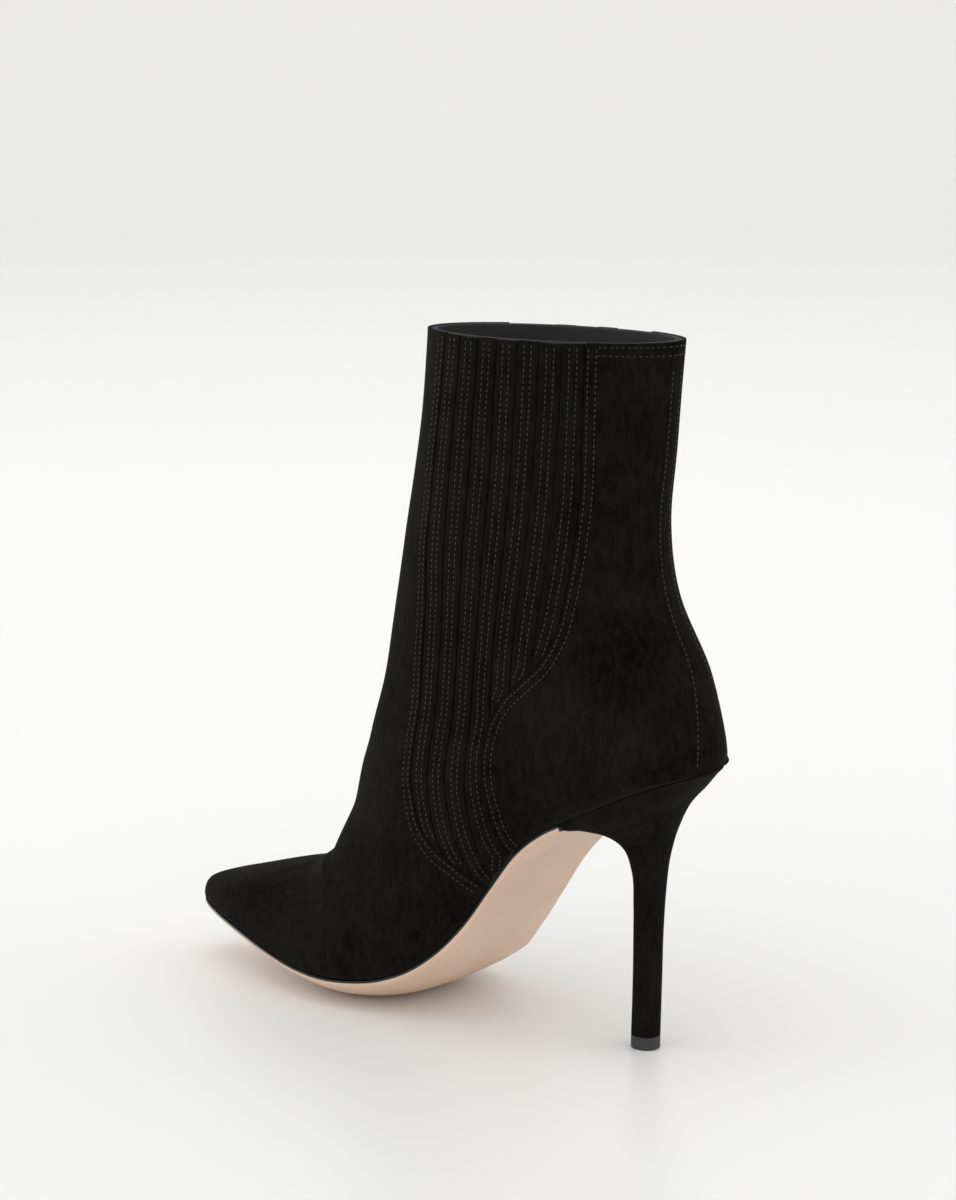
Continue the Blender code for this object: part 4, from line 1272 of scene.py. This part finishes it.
def cloth_material(name, weave, dark, light):
    made, tree, shader = start_material(name, {"Roughness": 0.85})
    threads = add_node(tree, "Group", {}, node_tree=weave).outputs["Weave"]
    tree.links.new(colour_between(tree, threads, dark, light), shader.inputs["Base Color"])
    add_bump(tree, shader, threads, 0.6, 0.0001)
    return made


def make_stage():
    """Pale sweep of floor and backdrop."""
    settings = {"Roughness": 0.34, "Base Color": (0.86, 0.86, 0.85, 1), "Specular IOR Level": 0.35}
    made, _, _ = start_material("pale floor", settings)
    profile = [(FLOOR_NEAR, 0.0), (FLOOR_FAR, 0.0)]
    for k in range(1, SWEEP_STEPS + 1):
        turn = math.radians(90) * k / SWEEP_STEPS
        profile.append((FLOOR_FAR + SWEEP * math.sin(turn), SWEEP - SWEEP * math.cos(turn)))
    profile.append((FLOOR_FAR + SWEEP, BACKDROP_HIGH))
    points = [AWAY * reach + ASIDE * side + Vector((0, 0, rise))
              for reach, rise in profile for side in (-FLOOR_HALF, FLOOR_HALF)]
    faces = [(2 * k, 2 * k + 1, 2 * k + 3, 2 * k + 2) for k in range(len(profile) - 1)]
    mesh = bpy.data.meshes.new("floor")
    mesh.from_pydata([tuple(p) for p in points], [], faces)
    mesh.materials.append(made)
    mesh.polygons.foreach_set("use_smooth", np.full(len(faces), True))
    link_object("floor", mesh)


def area_light(name, place, aim, size, power):
    data = bpy.data.lights.new(name, "AREA")
    data.shape = "SQUARE"
    data.size = size
    data.energy = power
    lamp = link_object(name, data)
    lamp.location = place
    lamp.rotation_mode = "QUATERNION"
    lamp.rotation_quaternion = (Vector(aim) - Vector(place)).to_track_quat("-Z", "Y")


def make_light():
    for light in LIGHTS:
        area_light(*light)
    world = bpy.data.worlds.new("soft room")
    world.use_nodes = True
    back = world.node_tree.nodes["Background"]
    back.inputs["Color"].default_value = (1.0, 0.995, 0.985, 1)
    back.inputs["Strength"].default_value = 0.91
    bpy.context.scene.world = world
    bpy.context.scene.view_settings.view_transform = "Standard"


def make_camera():
    """The photograph's camera."""
    data = bpy.data.cameras.new("camera")
    data.sensor_width = SENSOR
    data.lens = FOCAL / FRAME_HIGH * SENSOR
    data.clip_start = 0.05
    data.clip_end = 30
    camera = link_object("camera", data)
    camera.location = ASIDE * VIEW_SIDE - AWAY * VIEW_DISTANCE + Vector((0, 0, VIEW_RISE))
    look = AWAY * math.cos(VIEW_TILT) - Vector((0, 0, math.sin(VIEW_TILT)))
    camera.rotation_mode = "QUATERNION"
    camera.rotation_quaternion = look.to_track_quat("-Z", "Y")
    bpy.context.scene.camera = camera


def make_boot():
    nap, grain, weave = make_nap_group(), make_grain_group(), make_weave_group()
    suede = suede_material("black suede", nap, (0.0022, 0.0021, 0.0015), (0.0120, 0.0116, 0.0090), 0.60)
    heel_suede = suede_material("heel suede", nap, (0.0038, 0.0037, 0.0028), (0.0125, 0.0122, 0.0096), 0.3)
    looks = {key: leather_material(grain, *row) for key, row in LEATHERS.items()}
    cloth = cloth_material("stretch cloth", weave, (0.002, 0.002, 0.002), (0.008, 0.008, 0.008))
    lining = cloth_material("lining cloth", weave, (0.014, 0.014, 0.015), (0.034, 0.034, 0.036))
    make_front(suede)
    for side, word in WORDS.items():
        make_rear(side, suede)
        make_backing(side, cloth)
        lines = []
        for k in range(len(STRIP_ENDS)):
            lines += make_strip(side, k, suede)
        make_stitches("strip_stitches_" + word, lines, looks["thread"])
        make_stitches("panel_stitches_" + word, panel_lines(side) + collar_lines(side), looks["thread"])
    make_stitches("back_stitches", make_back_strip(suede), looks["thread"])
    make_lining(lining)
    make_facing(lining)
    make_sock(looks["sock"])
    make_outsole(looks["sole"], looks["paint"])
    make_heel(heel_suede, looks["rubber"])


make_boot()
make_stage()
make_light()
make_camera()
